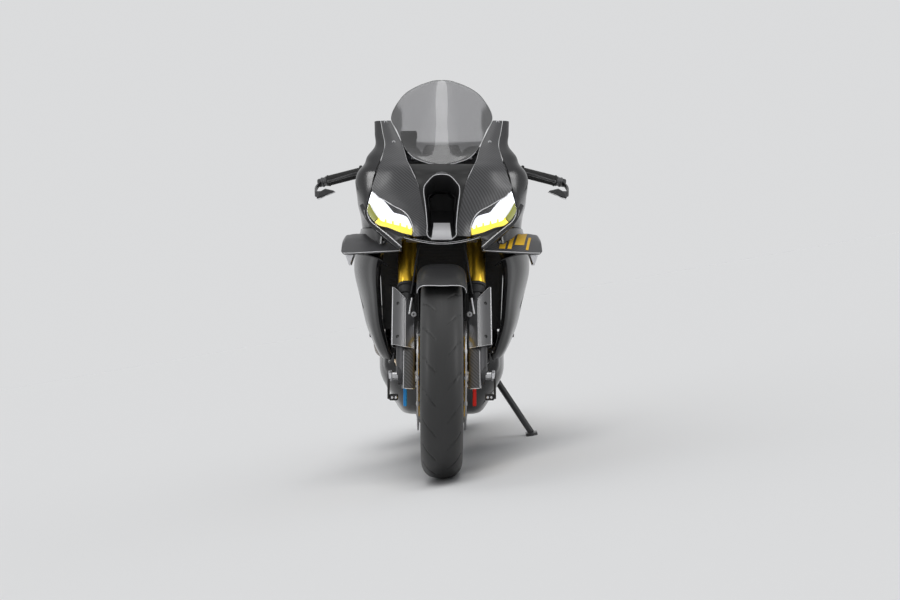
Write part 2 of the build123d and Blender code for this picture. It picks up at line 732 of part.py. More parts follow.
with BuildPart() as pivot_shaft:
    add(rod(point(-PLATE_INNER - PLATE_THICK - 8, PIVOT_S, PIVOT_Z),
            point(PLATE_INNER + PLATE_THICK + 8, PIVOT_S, PIVOT_Z), AXLE_RADIUS))
write(pivot_shaft, "pivot_shaft")

tilt = math.radians(CYLINDER_TILT)


def on_bank(up, back):
    """Point of the cylinder bank: up its axis from the crankshaft, and back from the axis."""
    return (
        CRANK_S - up * math.sin(tilt) + back * math.cos(tilt),
        CRANK_Z + up * math.cos(tilt) + back * math.sin(tilt),
    )


BANK_HEIGHT = 318.0
BANK_HALF = 188.0
with BuildPart() as engine_block:
    add(prism(side(-165), [
        (470, 330), (456, 430), on_bank(60, -84), on_bank(60, 84), (640, 545), (664, 400), (650, 340),
        (560, 330),
    ], 330))
    add(prism(side(-120), [(476, 332), (640, 342), (640, 300), (560, 262), (500, 270)], 240))
    add(prism(side(-104), [(600, 300), (600, 545), (720, 545), (800, 490), (806, 380), (760, 300)], 208))
    add(prism(side(-BANK_HALF), [
        on_bank(50, -84), on_bank(BANK_HEIGHT, -84), on_bank(BANK_HEIGHT, 80), on_bank(50, 80),
    ], 2 * BANK_HALF))
    for x, s, z, radius, depth in ((165, CRANK_S, CRANK_Z, 70, 18), (-165, 632, 416, 70, 22), (-165, 560, 452, 56, 20)):
        with BuildSketch(side(x)):
            with Locations((s, z)):
                Circle(radius)
        extrude(amount=math.copysign(depth, x))
    with BuildSketch(side(104)):
        with Locations((COUNTER_S, COUNTER_Z)):
            Circle(12)
    extrude(amount=24)
write(engine_block, "engine_block")

with BuildPart() as radiator:
    add(skin_lofted([
        (level(430), [(-185, 322), (-120, 342), (120, 342), (185, 322), (185, 346), (120, 366), (-120, 366), (-185, 346)]),
        (level(700), [(-195, 268), (-120, 288), (120, 288), (195, 268), (195, 292), (120, 312), (-120, 312), (-195, 292)]),
    ]))
    for x in (-70, 70):
        add(rod(point(x, 322, 620), point(x, 367, 620), 8))
write(radiator, "radiator")

HEADER_X = (-135.0, -45.0, 45.0, 135.0)
SILENCER_START = 1012.0
with BuildPart() as exhaust_pipes:
    start_s, start_z = on_bank(200, -84 - GAP)
    lead_s, lead_z = on_bank(200, -114)
    for x in HEADER_X:
        add(pipe([point(x, start_s, start_z), point(x, lead_s, lead_z), point(x, 408, 440),
                  point(x * 0.62, 432, 256), point(x * 0.34, 520, 214), point(x * 0.34, 640, 214)], 19, 22))
    add(prism(side(-70), [(620, 180), (620, 248), (840, 262), (840, 176)], 140))
    add(pipe([point(-40, 820, 220), point(-110, 900, 232), point(-172, 950, 310), point(-188, 990, 366)], 27, 40))
    add(rod(point(-188, 984, 366), point(-188, SILENCER_START - GAP, 366), 27))
write(exhaust_pipes, "exhaust_pipes")

SILENCER = (
    # s, centre x, centre z, half width, half height
    (SILENCER_START, -188, 366, 40, 44),
    (1060, -196, 384, 50, 58),
    (1230, -212, 432, 50, 58),
    (1290, -216, 450, 44, 48),
)
with BuildPart() as silencer:
    add(skin_lofted([
        (cross(s), [
            (x - w, z - 0.5 * h), (x - 0.5 * w, z - h), (x + 0.5 * w, z - h), (x + w, z - 0.5 * h),
            (x + w, z + 0.5 * h), (x + 0.5 * w, z + h), (x - 0.5 * w, z + h), (x - w, z + 0.5 * h),
        ]) for s, x, z, w, h in SILENCER
    ]))
    with BuildSketch(cross(1300)):
        with Locations((-216, 450)):
            Circle(30)
    extrude(amount=60, mode=Mode.SUBTRACT)
write(silencer, "silencer")

TANK = (
    # s, half width low, half width high, bottom, shoulder, top
    (392, 60, 52, 880, 925, 950),
    (440, 118, 92, 876, 950, 992),
    (560, 188, 120, 846, 960, 1012),
    (660, 176, 104, 800, 930, 1000),
    (770, 132, 84, 770, 870, 938),
    (850, 112, 70, 762, 812, 862),
)
with BuildPart() as fuel_tank:
    add(skin_lofted([
        (cross(s), [
            (-low * 0.8, bottom), (low * 0.8, bottom), (low, (bottom + shoulder) / 2), (low * 0.96, shoulder),
            (high * 0.9, top - 10), (high * 0.45, top), (-high * 0.45, top), (-high * 0.9, top - 10),
            (-low * 0.96, shoulder), (-low, (bottom + shoulder) / 2),
        ]) for s, low, high, bottom, shoulder, top in TANK
    ]))
write(fuel_tank, "fuel_tank")

RAIL = 13.0
with BuildPart() as rear_subframe:
    knee, hip, end = point(84, 868, 700), point(84, 1060, 757.7), point(60, 1420, 868.1)
    add(pipe([knee, hip, end], RAIL, 60))
    lean_s, lean_z = 868 - CROSS_TUBE[0], 700 - CROSS_TUBE[1]
    stop = (CROSS_RADIUS + GAP) / math.hypot(lean_s, lean_z)
    add(rod(knee, point(84, CROSS_TUBE[0] + lean_s * stop, CROSS_TUBE[1] + lean_z * stop), RAIL))
    add(rod(knee, point(119.2, 776, 625), RAIL))
    add(rod(point(84, 905, 560), point(84, 1055, 752), 10))
    add(rod(point(84, 905, 560), point(84, 874, 694), 10))
    mirror(about=Plane.YZ)
    add(rod(point(-84, 1060, 752), point(84, 1060, 752), 10))
    add(rod(point(-62, 1400, 862), point(62, 1400, 862), 10))
    add(rod(point(-84, 868, 700), point(84, 868, 700), 10))
write(rear_subframe, "rear_subframe")

with BuildPart() as rider_seat:
    add(skin_lofted([
        (cross(s), [(-w, low), (w, low), (w, high - 14), (w * 0.7, high), (-w * 0.7, high), (-w, high - 14)])
        for s, w, low, high in ((850 + GAP, 92, 764, 826), (940, 130, 770, 832), (1100, 138, 786, 846), (1150 - GAP, 128, 800, 862))
    ]))
write(rider_seat, "rider_seat")

TAIL = (
    # s, half width, bottom, waist, top
    (1150, 132, 800, 850, 940),
    (1250, 118, 830, 880, 975),
    (1400, 86, 876, 918, 990),
    (1530, 44, 926, 950, 985),
)
with BuildPart() as seat_cowl:
    add(skin_lofted([
        (cross(s), [
            (-w * 0.7, low), (w * 0.7, low), (w, waist), (w * 0.7, high - 12), (w * 0.3, high),
            (-w * 0.3, high), (-w * 0.7, high - 12), (-w, waist),
        ]) for s, w, low, waist, high in TAIL
    ]))
write(seat_cowl, "seat_cowl")

with BuildPart() as tail_lamp:
    add(prism(cross(1546), [(-30, 934), (30, 934), (38, 950), (26, 974), (-26, 974), (-38, 950)], 15.7))
write(tail_lamp, "tail_lamp")

ARM = (
    # s, middle from the centre line, half thickness, bottom, top
    (826, 84, 19, 396, 444),
    (920, 86, 19, 362, 448),
    (1050, 102, 16, 340, 442),
    (REAR_S - 317, 130, 14, 322, 430),
    (REAR_S - 167, 138, 14, 306, 400),
    (REAR_S - 37, 138, 14, 292, 362),
    (REAR_S + 53, 138, 14, 296, 356),
)
with BuildPart() as swingarm:
    add(skin_lofted([
        (cross(s), [(x - t, low), (x + t, low), (x + t, high), (x - t, high)]) for s, x, t, low, high in ARM
    ]))
    mirror(about=Plane.YZ)
    add(rod(point(-SWINGARM_HALF, PIVOT_S, PIVOT_Z), point(SWINGARM_HALF, PIVOT_S, PIVOT_Z), 26))
    add(prism(cross(1080), [(-96, 350), (96, 350), (96, 430), (-96, 430)], 70))
    with BuildSketch(side(-300)):
        with Locations((PIVOT_S, PIVOT_Z), (REAR_S, REAR_Z)):
            Circle(AXLE_RADIUS + GAP)
    extrude(amount=600, mode=Mode.SUBTRACT)
write(swingarm, "swingarm")

with BuildPart() as rear_axle:
    with BuildSketch(side(-REAR_AXLE_HALF)):
        with Locations((REAR_S, REAR_Z)):
            Circle(AXLE_RADIUS)
    extrude(amount=2 * REAR_AXLE_HALF)
    for start, end in ((CHAIN_X + SPROCKET_THICK / 2 + GAP, 124 - GAP), (GAP - 124, REAR_DISC_X - DISC_THICK / 2 - GAP)):
        with BuildSketch(side(start)):
            with Locations((REAR_S, REAR_Z)):
                Circle(AXLE_RADIUS + 6)
        extrude(amount=end - start)
    for start, depth in ((152 + GAP, 12), (-152 - GAP, -12)):
        with BuildSketch(side(start)):
            with Locations((REAR_S, REAR_Z)):
                RegularPolygon(18, 6)
        extrude(amount=depth)
    with BuildSketch(side(-REAR_AXLE_HALF)):
        with Locations((REAR_S, REAR_Z)):
            Circle(AXLE_BORE)
    extrude(amount=2 * REAR_AXLE_HALF, mode=Mode.SUBTRACT)
write(rear_axle, "rear_axle")

with BuildPart() as rear_caliper:
    outline = [(REAR_S - 60 + u, REAR_Z + v) for u, v in ((-64, 52), (-30, 40), (18, 52), (24, 96), (-20, 118), (-60, 100))]
    add(prism(side(REAR_DISC_X - 22), outline, 44))
    add(prism(side(GAP - 124), [(REAR_S - 157, 372), (REAR_S - 157, 340), (REAR_S - 47, 312), (REAR_S - 31, 400),
                                (REAR_S - 97, 430)], 9))
    with BuildSketch(side(REAR_DISC_X - 4.2)):
        with Locations((REAR_S, REAR_Z)):
            Circle(REAR_DISC_RADIUS + 5)
    extrude(amount=8.4, mode=Mode.SUBTRACT)
write(rear_caliper, "rear_caliper")

EYE = 14.0
with BuildPart() as rear_shock:
    low_s, low_z = (1030.0, 430 + EYE + GAP)
    high_s, high_z = (CROSS_TUBE[0] + CROSS_RADIUS + EYE + GAP, CROSS_TUBE[1])
    for s, z in ((low_s, low_z), (high_s, high_z)):
        add(rod(point(-16, s, z), point(16, s, z), EYE))
    add(rod(point(0, low_s, low_z), point(0, high_s, high_z), 11))
    low, high = Vector(*point(0, low_s, low_z)), Vector(*point(0, high_s, high_z))
    add(rod(tuple(low + (high - low) * 0.16), tuple(low + (high - low) * 0.84), 32))
write(rear_shock, "rear_shock")

HUGGER_RADIUS = REAR_RADIUS + 17
with BuildPart() as rear_hugger:
    line = [(100, HUGGER_RADIUS - 33), (88, HUGGER_RADIUS - 13), (50, HUGGER_RADIUS), (-50, HUGGER_RADIUS),
            (-88, HUGGER_RADIUS - 13), (-100, HUGGER_RADIUS - 33)]
    rear_from = math.radians(80)
    start = Plane(origin=point(0, REAR_S, REAR_Z), x_dir=(1, 0, 0),
                  z_dir=(0, -math.cos(rear_from), -math.sin(rear_from)))
    with BuildSketch(start):
        with BuildLine():
            Polyline(*walled(line, 3.0), close=True)
        make_face()
    revolve(axis=REAR_AXIS, revolution_arc=-60)
    add(prism(side(-30), [(1080 + GAP, 384), (REAR_S - 336, 384), (REAR_S - 336, 391), (1080 + GAP, 391)], 60))
write(rear_hugger, "rear_hugger")

PEG = (918.0, 398.0)           # s, z of the rider's footrest
with BuildPart() as footrests:
    plate_x = PLATE_INNER + PLATE_THICK + GAP
    peg_s, peg_z = PEG
    add(prism(side(plate_x), [(874, 476), (896, 484), (peg_s + 16, peg_z + 8), (peg_s + 10, peg_z - 16),
                              (peg_s - 16, peg_z - 14), (874, 440)], 10, 5))
    add(rod(point(plate_x + 5, peg_s, peg_z), point(plate_x + 96, peg_s + 8, peg_z + 3), 11))
    add(prism(side(plate_x + 16), [(peg_s - 6, peg_z - 8), (peg_s - 6, peg_z + 8), (772, 352), (772, 338)], 8))
    add(rod(point(plate_x + 8, peg_s - 8, peg_z), point(plate_x + 24, peg_s - 8, peg_z), 14))
    add(rod(point(plate_x + 16, 776, 345), point(plate_x + 50, 776, 345), 7))
    mirror(about=Plane.YZ)
write(footrests, "footrests")


# ================= bodywork =================
SIDE_FAIRING = (
    # z, then (x, s) from the front edge's flange to the rear edge
    (352, ((162, 330), (184, 340), (196, 410), (200, 480), (198, 606))),
    (430, ((178, 285), (206, 300), (230, 380), (234, 470), (218, 612))),
    (527, ((176, 215), (214, 240), (250, 340), (256, 450), (230, 600))),
    (623, ((165, 140), (222, 185), (266, 300), (274, 420), (240, 580))),
    (700, ((140, 88), (198, 112), (250, 230), (262, 380), (225, 560))),
    (744, ((150, 110), (205, 140), (243, 250), (250, 390), (215, 540))),
)
VENTS = ((372, 545), (408, 535), (444, 525))     # s, z of the slots in each side
VENT_LONG = 112.0
VENT_WIDE = 15.0
VENT_SLANT = 64.0
with BuildPart() as side_fairings:
    add(panel([(level(z), line) for z, line in SIDE_FAIRING]))
    with BuildSketch(side(180)):
        with Locations(*VENTS):
            SlotOverall(VENT_LONG, VENT_WIDE, rotation=VENT_SLANT)
    extrude(amount=140, mode=Mode.SUBTRACT)
    add(rod(point(BANK_HALF + GAP, 470, 600), point(262, 470, 600), 8))
    mirror(about=Plane.YZ)
write(side_fairings, "side_fairings")

UPPER_FAIRING = (
    (744 + GAP, ((196, 112), (210, 122), (236, 190), (248, 300), (250, 392), (222, 500))),
    (800, ((227, 82), (233, 98), (246, 170), (250, 280), (244, 380), (212, 470))),
    (858, ((224, 88), (240, 100), (262, 140), (258, 240), (236, 340), (196, 430))),
    (884, ((234, 98), (250, 110), (262, 138), (250, 214), (222, 300), (190, 384))),
    (910, ((257, 108), (260, 116), (258, 138), (240, 190), (214, 250), (190, 318))),
    (926, ((247, 114), (249, 122), (246, 138), (232, 176), (212, 226), (192, 280))),
    (955, ((223, 142), (225, 148), (222, 156), (214, 172), (204, 196), (192, 232))),
)
with BuildPart() as upper_fairings:
    add(panel([(level(z), line) for z, line in UPPER_FAIRING]))
    mirror(about=Plane.YZ)
write(upper_fairings, "upper_fairings")

EAR = (
    # z, then (x, s) from the inner edge outwards
    (712, ((44, -6), (62, 0), (86, 14))),
    (758, ((50, 2), (78, 14), (94, 28))),
    (815, ((60, 14), (112, 32), (158, 56))),
    (858, ((66, 26), (138, 50), (204, 78))),
    (910, ((88, 44), (170, 66), (258, 100))),
    (926, ((95, 66), (170, 78), (248, 106))),
    (984, ((117, 151), (160, 152), (202, 160))),
    (1078, ((159, 251), (180, 250), (204, 256))),
)
with BuildPart() as ear_panels:
    add(panel([(level(z), line) for z, line in EAR]))
    mirror(about=Plane.YZ)
write(ear_panels, "ear_panels")

LAMP = ((88, 716), (186, 748), (220, 792), (222, 816), (208, 850), (163, 812), (128, 784), (100, 756))
LAMP_INNER_S = 14.0
LAMP_OUTER_S = 80.0
LAMP_DEPTH = 36.0
lamp_run = Vector(LAMP[3][0] - LAMP[0][0], LAMP_OUTER_S - LAMP_INNER_S, 0)
lamp_face = Plane(origin=point(LAMP[0][0], LAMP_INNER_S, 0), x_dir=lamp_run, z_dir=lamp_run.cross(Vector(0, 0, 1)))
lamp_stretch = lamp_run.length / lamp_run.X
with BuildPart() as headlamps:
    add(prism(lamp_face, [((x - LAMP[0][0]) * lamp_stretch, z) for x, z in LAMP], -LAMP_DEPTH))
    mirror(about=Plane.YZ)
write(headlamps, "headlamps")

MOUTH = ((-41, 701), (41, 701), (42, 804), (46, 851), (25, 891), (-25, 891), (-46, 851), (-42, 804))
MOUTH_S = -18.0
MOUTH_BACK = 96.0
DUCT_WALL = 0.92
NOSE = (
    # z, half width, s at the edge, s of the centre line
    (712, 41.8, -6, -12),
    (815, 57.6, 14, 0),
    (858, 63.6, 26, 6),
    (895, 79.2, 40, 20),
    (926, 92.6, 66, 76),
)


def smaller(outline):
    return [(x * DUCT_WALL, 792 + (z - 792) * DUCT_WALL) for x, z in outline]


MOUTH_REAR = [(x * 0.95, 800 + (z - 800) * 0.6) for x, z in MOUTH]
with BuildPart() as nose_cowl:
    # Ram-air mouth: eight-sided ring that narrows towards the head tube, on the chin panel,
    # with the panel between the ears around and above it.
    add(panel([(level(z), [(-half, edge), (-half / 2, (edge + 2 * middle) / 3), (half / 2, (edge + 2 * middle) / 3), (half, edge)])
               for z, half, edge, middle in NOSE]))
    add(skin_lofted([(cross(MOUTH_S), MOUTH), (cross(MOUTH_BACK), MOUTH_REAR)]))
    add(prism(level(694), [(-107, -4), (-60, -18), (60, -18), (107, -4), (112, 60), (-112, 60)], 8))
    add(skin_lofted([(cross(MOUTH_S - 1), smaller(MOUTH)), (cross(MOUTH_BACK + 1), smaller(MOUTH_REAR))]),
        mode=Mode.SUBTRACT)
write(nose_cowl, "nose_cowl")

HEAD_DUCT = [(-36, 791), (36, 791), (38, 812), (36, 838), (20, 852), (-20, 852), (-36, 838), (-38, 812)]
with BuildPart() as air_duct:
    add(skin_lofted([(cross(MOUTH_BACK + GAP), MOUTH_REAR), (cross(128), HEAD_DUCT), (cross(236), HEAD_DUCT)]))
    add(skin_lofted([(cross(MOUTH_BACK - 1), smaller(MOUTH_REAR)), (cross(127), smaller(HEAD_DUCT)),
                     (cross(200), smaller(HEAD_DUCT))]), mode=Mode.SUBTRACT)
    for hand in (-1, 1):
        add(rod(point(hand * 24, 184, 846), point(hand * 24, 184, 940 - GAP), 7))
    with BuildSketch(fork(HEAD_LOW)):
        Circle(HEAD_RADIUS + GAP)
    extrude(amount=HEAD_HIGH - HEAD_LOW, mode=Mode.SUBTRACT)
write(air_duct, "air_duct")

SCREEN = (
    # z, s of the centre line, half width, s at the edge
    (926 + GAP, 76, 94, 66),
    (984, 112, 116, 151),
    (1078, 182, 158, 251),
    (1132, 226, 138, 272),
    (1173, 258, 106, 284),
    (1206, 288, 40, 292),
)
with BuildPart() as windscreen:
    add(panel([
        (level(z), [(-half, edge), (-half * 0.72, middle + (edge - middle) * 0.5),
                    (-half * 0.36, middle + (edge - middle) * 0.12), (0, middle),
                    (half * 0.36, middle + (edge - middle) * 0.12),
                    (half * 0.72, middle + (edge - middle) * 0.5), (half, edge)])
        for z, middle, half, edge in SCREEN
    ], 3.0))
write(windscreen, "windscreen")

with BuildPart() as instrument:
    add(prism(Plane(origin=point(0, 184, 940), x_dir=(1, 0, 0), z_dir=(0, -0.9, 0.42)),
              [(-54, 0), (54, 0), (60, 26), (50, 56), (-50, 56), (-60, 26)], 20, 6))
write(instrument, "instrument")

WINGLET = (
    # x, front s, rear s, height of the leading edge, thickness
    (136, 60, 112, 680, 14),
    (225, 52, 190, 704, 26),
    (293, 62, 196, 702, 34),
)


def core(z, line):
    """Everything inside a bodywork section, with the gap that a piece outside it keeps."""
    outside = walled(line, -GAP)[len(line):][::-1]
    return level(z), [(0, outside[0][1])] + outside + [(0, outside[-1][1])]


fairing_core = skin_lofted([core(z, line) for z, line in SIDE_FAIRING])
with BuildPart() as winglets:
    add(skin_lofted([
        (side(x), [(front, z - thick), (front + 6, z), (rear - 20, z + 34), (rear, z + 22), (rear, z + 12),
                   (front + 20, z - thick - 6)])
        for x, front, rear, z, thick in WINGLET
    ]))
    add(fairing_core, mode=Mode.SUBTRACT)
    mirror(about=Plane.YZ)
write(winglets, "winglets")

BELLY = (
    # s, half width at the top, top, half width low, bottom
    (340, 168, 348, 60, 226),
    (420, 196, 351, 110, 168),
    (600, 196, 351, 126, 142),
    (800, 160, 300, 112, 148),
)
with BuildPart() as belly_pan:
    add(panel([
        (cross(s), [(top_half, top), (top_half - 6, (top + low) / 2 + 20), (low_half + 20, low + 34), (low_half, low + 6), (0, low),
                    (-low_half, low + 6), (-low_half - 20, low + 34), (6 - top_half, (top + low) / 2 + 20), (-top_half, top)][::-1])
        for s, top_half, top, low_half, low in BELLY
    ]))
write(belly_pan, "belly_pan")


# ================= side stand =================
ground_z = STAND_FOOT[0] * math.tan(LEAN_RAD) - LIFT / math.cos(LEAN_RAD)
stand_axis = Vector(*STAND_AXIS).normalized()
stand_pivot = Vector(*point(*STAND_PIVOT))
stand_foot = Vector(*point(STAND_FOOT[0], STAND_FOOT[1], ground_z))
road_normal = Vector(-math.sin(LEAN_RAD), 0, math.cos(LEAN_RAD))
stand_leg = stand_foot - stand_pivot
stand_flat = (stand_leg - stand_axis * stand_leg.dot(stand_axis)).normalized()
STAND_BOSS = 17.0
STAND_HALF = 10.0              # half the thickness of the boss between the bracket's ears
with BuildPart() as side_stand:
    with BuildSketch(Plane(origin=tuple(stand_pivot - stand_axis * STAND_HALF), x_dir=tuple(stand_flat), z_dir=tuple(stand_axis))):
        Circle(STAND_BOSS)
        with Locations((20, 0)):
            Rectangle(40, 24)
    extrude(amount=2 * STAND_HALF)
    add(rod(tuple(stand_pivot + stand_leg.normalized() * 36), tuple(stand_foot + road_normal * 9), 11))
    with BuildSketch(Plane(origin=tuple(stand_foot), x_dir=(0, 1, 0), z_dir=tuple(road_normal))):
        SlotOverall(74, 40)
    extrude(amount=10)
    with BuildSketch(Plane(origin=tuple(stand_pivot - stand_axis * 20), z_dir=tuple(stand_axis))):
        Circle(6 + GAP)
    extrude(amount=40, mode=Mode.SUBTRACT)
write(side_stand, "side_stand")

EAR_THICK = 7.0
stand_up = (Vector(0, 0, 1) - stand_axis * stand_axis.Z).normalized()
with BuildPart() as stand_bracket:
    for shift in (-STAND_HALF - EAR_THICK - GAP, STAND_HALF + GAP):
        start = stand_pivot + stand_axis * shift
        add(rod(tuple(start), tuple(start + stand_axis * EAR_THICK), 16))
        raised = start + stand_up * 14
        add(rod(tuple(raised), tuple(raised + stand_axis * EAR_THICK), 14))
    add(rod(tuple(stand_pivot - stand_axis * 17), tuple(stand_pivot + stand_axis * 17), 6))
    seat_z = PLATE_LOW - GAP
    add(prism(side(PLATE_INNER), [(838, seat_z - 15), (874, seat_z - 15), (874, seat_z), (838, seat_z)], PLATE_THICK + 4))
write(stand_bracket, "stand_bracket")


# ---- joint places in the parked machine, for whoever rigs it ----
def parked(vector):
    return (PARKED * Location(Vector(*vector))).position


def parked_direction(vector):
    return Plane(origin=(0, 0, 0), z_dir=(Location((0, 0, 0), (0, LEAN, 0)) * Location(Vector(*vector))).position).z_dir


for label, place, direction in (
    ("steering", point(0, AXIS_S, AXIS_Z), STEER.z_dir),
    ("front_wheel", point(0, 0, FRONT_RADIUS), (1, 0, 0)),
    ("rear_wheel", point(0, REAR_S, REAR_Z), (1, 0, 0)),
    ("side_stand", stand_pivot, stand_axis),
):
    print("joint", label, [round(v, 4) for v in parked(place)], [round(v, 6) for v in parked_direction(direction)])
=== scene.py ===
import json
import math

import bpy
import numpy as np
from mathutils import Matrix


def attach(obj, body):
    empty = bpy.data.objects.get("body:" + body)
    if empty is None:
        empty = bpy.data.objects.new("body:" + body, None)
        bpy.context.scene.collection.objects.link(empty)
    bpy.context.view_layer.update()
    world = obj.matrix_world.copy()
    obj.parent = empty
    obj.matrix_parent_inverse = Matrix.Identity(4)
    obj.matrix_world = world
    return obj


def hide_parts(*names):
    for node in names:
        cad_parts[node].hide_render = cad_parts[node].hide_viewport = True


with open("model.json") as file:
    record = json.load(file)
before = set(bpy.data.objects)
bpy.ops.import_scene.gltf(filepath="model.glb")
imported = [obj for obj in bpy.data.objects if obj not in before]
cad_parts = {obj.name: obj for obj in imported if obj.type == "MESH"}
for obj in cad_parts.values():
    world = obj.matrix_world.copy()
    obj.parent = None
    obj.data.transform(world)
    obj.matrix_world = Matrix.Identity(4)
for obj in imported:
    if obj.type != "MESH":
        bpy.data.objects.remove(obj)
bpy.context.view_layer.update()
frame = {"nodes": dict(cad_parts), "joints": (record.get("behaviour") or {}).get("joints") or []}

# Pieces are drawn upright in millimetres: x to the rider's left, s behind the front axle,
# z above the road. park() leans them with the machine and turns them into the frame's metres.
joints = {joint["name"]: joint for joint in frame["joints"]}
AXLE = np.array(joints["front_wheel_spin"]["pos_m"])
ACROSS = np.array(joints["front_wheel_spin"]["axis"])
BACK = np.array((0.0, 1.0, 0.0))
UP = np.cross(ACROSS, BACK)
FRONT_RADIUS = 300.0
FRONT_CENTRE = (0.0, 0.0, FRONT_RADIUS)
REAR_CENTRE = (0.0, 1457.0, 326.62)
FRONT_SEAT, REAR_SEAT = 44.5, 76       # half widths of the rims between their flanges
FRONT_DISC_X, REAR_DISC_X = 69, -95    # middles of the brake bands
RAKE = math.radians(23.6)
FORK_OFFSET = 28.6
FORK_X = 104.0


def park(points):
    """x along the axles, s straight back and z square to both, from the front axle's middle."""
    p = np.asarray(points, float) / 1000
    return AXLE + p[..., 0:1] * ACROSS + p[..., 1:2] * BACK + (p[..., 2:3] - FRONT_RADIUS / 1000) * UP


def on_fork(x, back, h):
    """Point of the steering's own frame: back from its axis and h up along it from the axle."""
    s = FORK_OFFSET * math.cos(RAKE) + back * math.cos(RAKE) + h * math.sin(RAKE)
    z = FRONT_RADIUS - FORK_OFFSET * math.sin(RAKE) - back * math.sin(RAKE) + h * math.cos(RAKE)
    return (x, s, z)


# ================= shapes =================
def cubic(knots, values, at):
    """Cubic through the values at the knots, each slope the mean of the two runs beside it."""
    knots, values, asked = np.asarray(knots, float), np.asarray(values, float), np.asarray(at, float)
    at = asked.ravel()
    shape = (-1,) + (1,) * (values.ndim - 1)
    h = np.diff(knots).reshape(shape)
    run = np.diff(values, axis=0) / h
    slope = np.concatenate((run[:1], (run[:-1] * h[1:] + run[1:] * h[:-1]) / (h[1:] + h[:-1]), run[-1:]))
    i = np.clip(np.searchsorted(knots, at, side="right") - 1, 0, len(knots) - 2)
    t = ((at - knots[i]) / np.diff(knots)[i]).reshape(shape)
    w = h[i]
    found = ((1 + 2 * t) * (1 - t) ** 2 * values[i] + t * (1 - t) ** 2 * w * slope[i]
             + t * t * (3 - 2 * t) * values[i + 1] - t * t * (1 - t) * w * slope[i + 1])
    return found.reshape(asked.shape + values.shape[1:])


def net(control, rows, columns):
    """Smooth grid through a coarse net of points: cubic down the rows, then along them."""
    grid = np.asarray(control, float)
    for count in (rows, columns):
        step = np.linalg.norm(np.diff(grid, axis=0), axis=-1).mean(axis=1)
        knots = np.concatenate(([0.0], np.cumsum(np.maximum(step, 0.01))))
        grid = cubic(knots, grid, np.linspace(0, knots[-1], count)).swapaxes(0, 1)
    return grid


def line(points, count):
    """Smooth path through the points, count of them spaced by length."""
    points = np.asarray(points, float)
    knots = np.concatenate(([0.0], np.cumsum(np.linalg.norm(np.diff(points, axis=0), axis=1))))
    return cubic(knots, points, np.linspace(0, knots[-1], count))


def spread(grid):
    """Surface coordinates in metres: along each row from its middle, and down the mean column."""
    down = np.concatenate(([0], np.cumsum(np.linalg.norm(np.diff(grid, axis=0), axis=-1).mean(axis=1))))
    over = np.concatenate((np.zeros((len(grid), 1)), np.cumsum(np.linalg.norm(np.diff(grid, axis=1),
        axis=-1), axis=1)), axis=1)
    over = over - over.mean(axis=1, keepdims=True)
    return np.stack((over, np.broadcast_to(down[:, None], over.shape)), axis=-1) / 1000


def quads(rows, columns, loop_rows=False, loop_columns=False):
    """Corner numbers of a grid's four-sided faces, joined up at its ends where it loops."""
    r = np.arange(rows if loop_rows else rows - 1)[:, None]
    c = np.arange(columns if loop_columns else columns - 1)[None, :]
    r1, c1 = (r + 1) % rows, (c + 1) % columns
    return np.stack((r * columns + c, r * columns + c1, r1 * columns + c1, r1 * columns + c),
                    axis=-1).reshape(-1, 4)


def body_of_faces(points, loops, totals, uv):
    """(points, corner numbers, corners per face, uv) with the faces turned outwards by volume."""
    points = np.asarray(points, float).reshape(-1, 3)
    part = (points, np.asarray(loops, int), np.asarray(totals, int), np.asarray(uv, float).reshape(-1, 2))
    starts = np.cumsum(part[2]) - part[2]
    first = starts.repeat(part[2])
    step = np.arange(len(part[1])) - first
    following = first + (step + 1) % part[2].repeat(part[2])
    middle = points.mean(axis=0)
    a, b, c = (points[part[1][k]] - middle for k in (first, np.arange(len(part[1])), following))
    return part if np.einsum("ij,ij->", a, np.cross(b, c)) > 0 else turned(part)


def turned(part):
    """The same faces with their corners the other way round."""
    points, loops, totals, uv = part
    starts = (np.cumsum(totals) - totals).repeat(totals)
    step = np.arange(len(loops)) - starts
    return points, loops[starts + totals.repeat(totals) - 1 - step], totals, uv


def mirrored(part):
    """The part and its twin on the other side of the centre plane."""
    points, loops, totals, uv = part
    other = turned((points * (-1, 1, 1), loops, totals, uv * (-1, 1)))
    return together(part, other)


def together(*parts):
    """Several parts in one mesh."""
    offsets = np.cumsum([0] + [len(part[0]) for part in parts[:-1]])
    return (np.concatenate([part[0] for part in parts]),
            np.concatenate([part[1] + offset for part, offset in zip(parts, offsets)]),
            np.concatenate([part[2] for part in parts]),
            np.concatenate([part[3] for part in parts]))


def facing(grid):
    """Unit normals of a grid, from the cross product of its two directions."""
    n = np.cross(np.gradient(grid, axis=0), np.gradient(grid, axis=1))
    return n / np.maximum(np.linalg.norm(n, axis=-1, keepdims=True), 1e-9)


def shell(grid, thick):
    """Panel with a wall: the grid, its copy moved along the normals, and a rim round both."""
    rows, columns = grid.shape[:2]
    inner = grid - facing(grid) * thick
    count = rows * columns
    skin = quads(rows, columns)
    index = np.arange(count).reshape(rows, columns)
    edge = np.concatenate((index[0, :-1], index[:-1, -1], index[-1, :0:-1], index[:0:-1, 0]))
    rim = np.stack((np.roll(edge, -1), edge, edge + count, np.roll(edge, -1) + count), axis=-1)
    faces = np.concatenate((skin, skin[:, ::-1] + count, rim))
    uv = np.tile(spread(grid).reshape(-1, 2), (2, 1))
    return body_of_faces(np.concatenate((grid.reshape(-1, 3), inner.reshape(-1, 3))), faces.ravel(),
        np.full(len(faces), 4), uv)


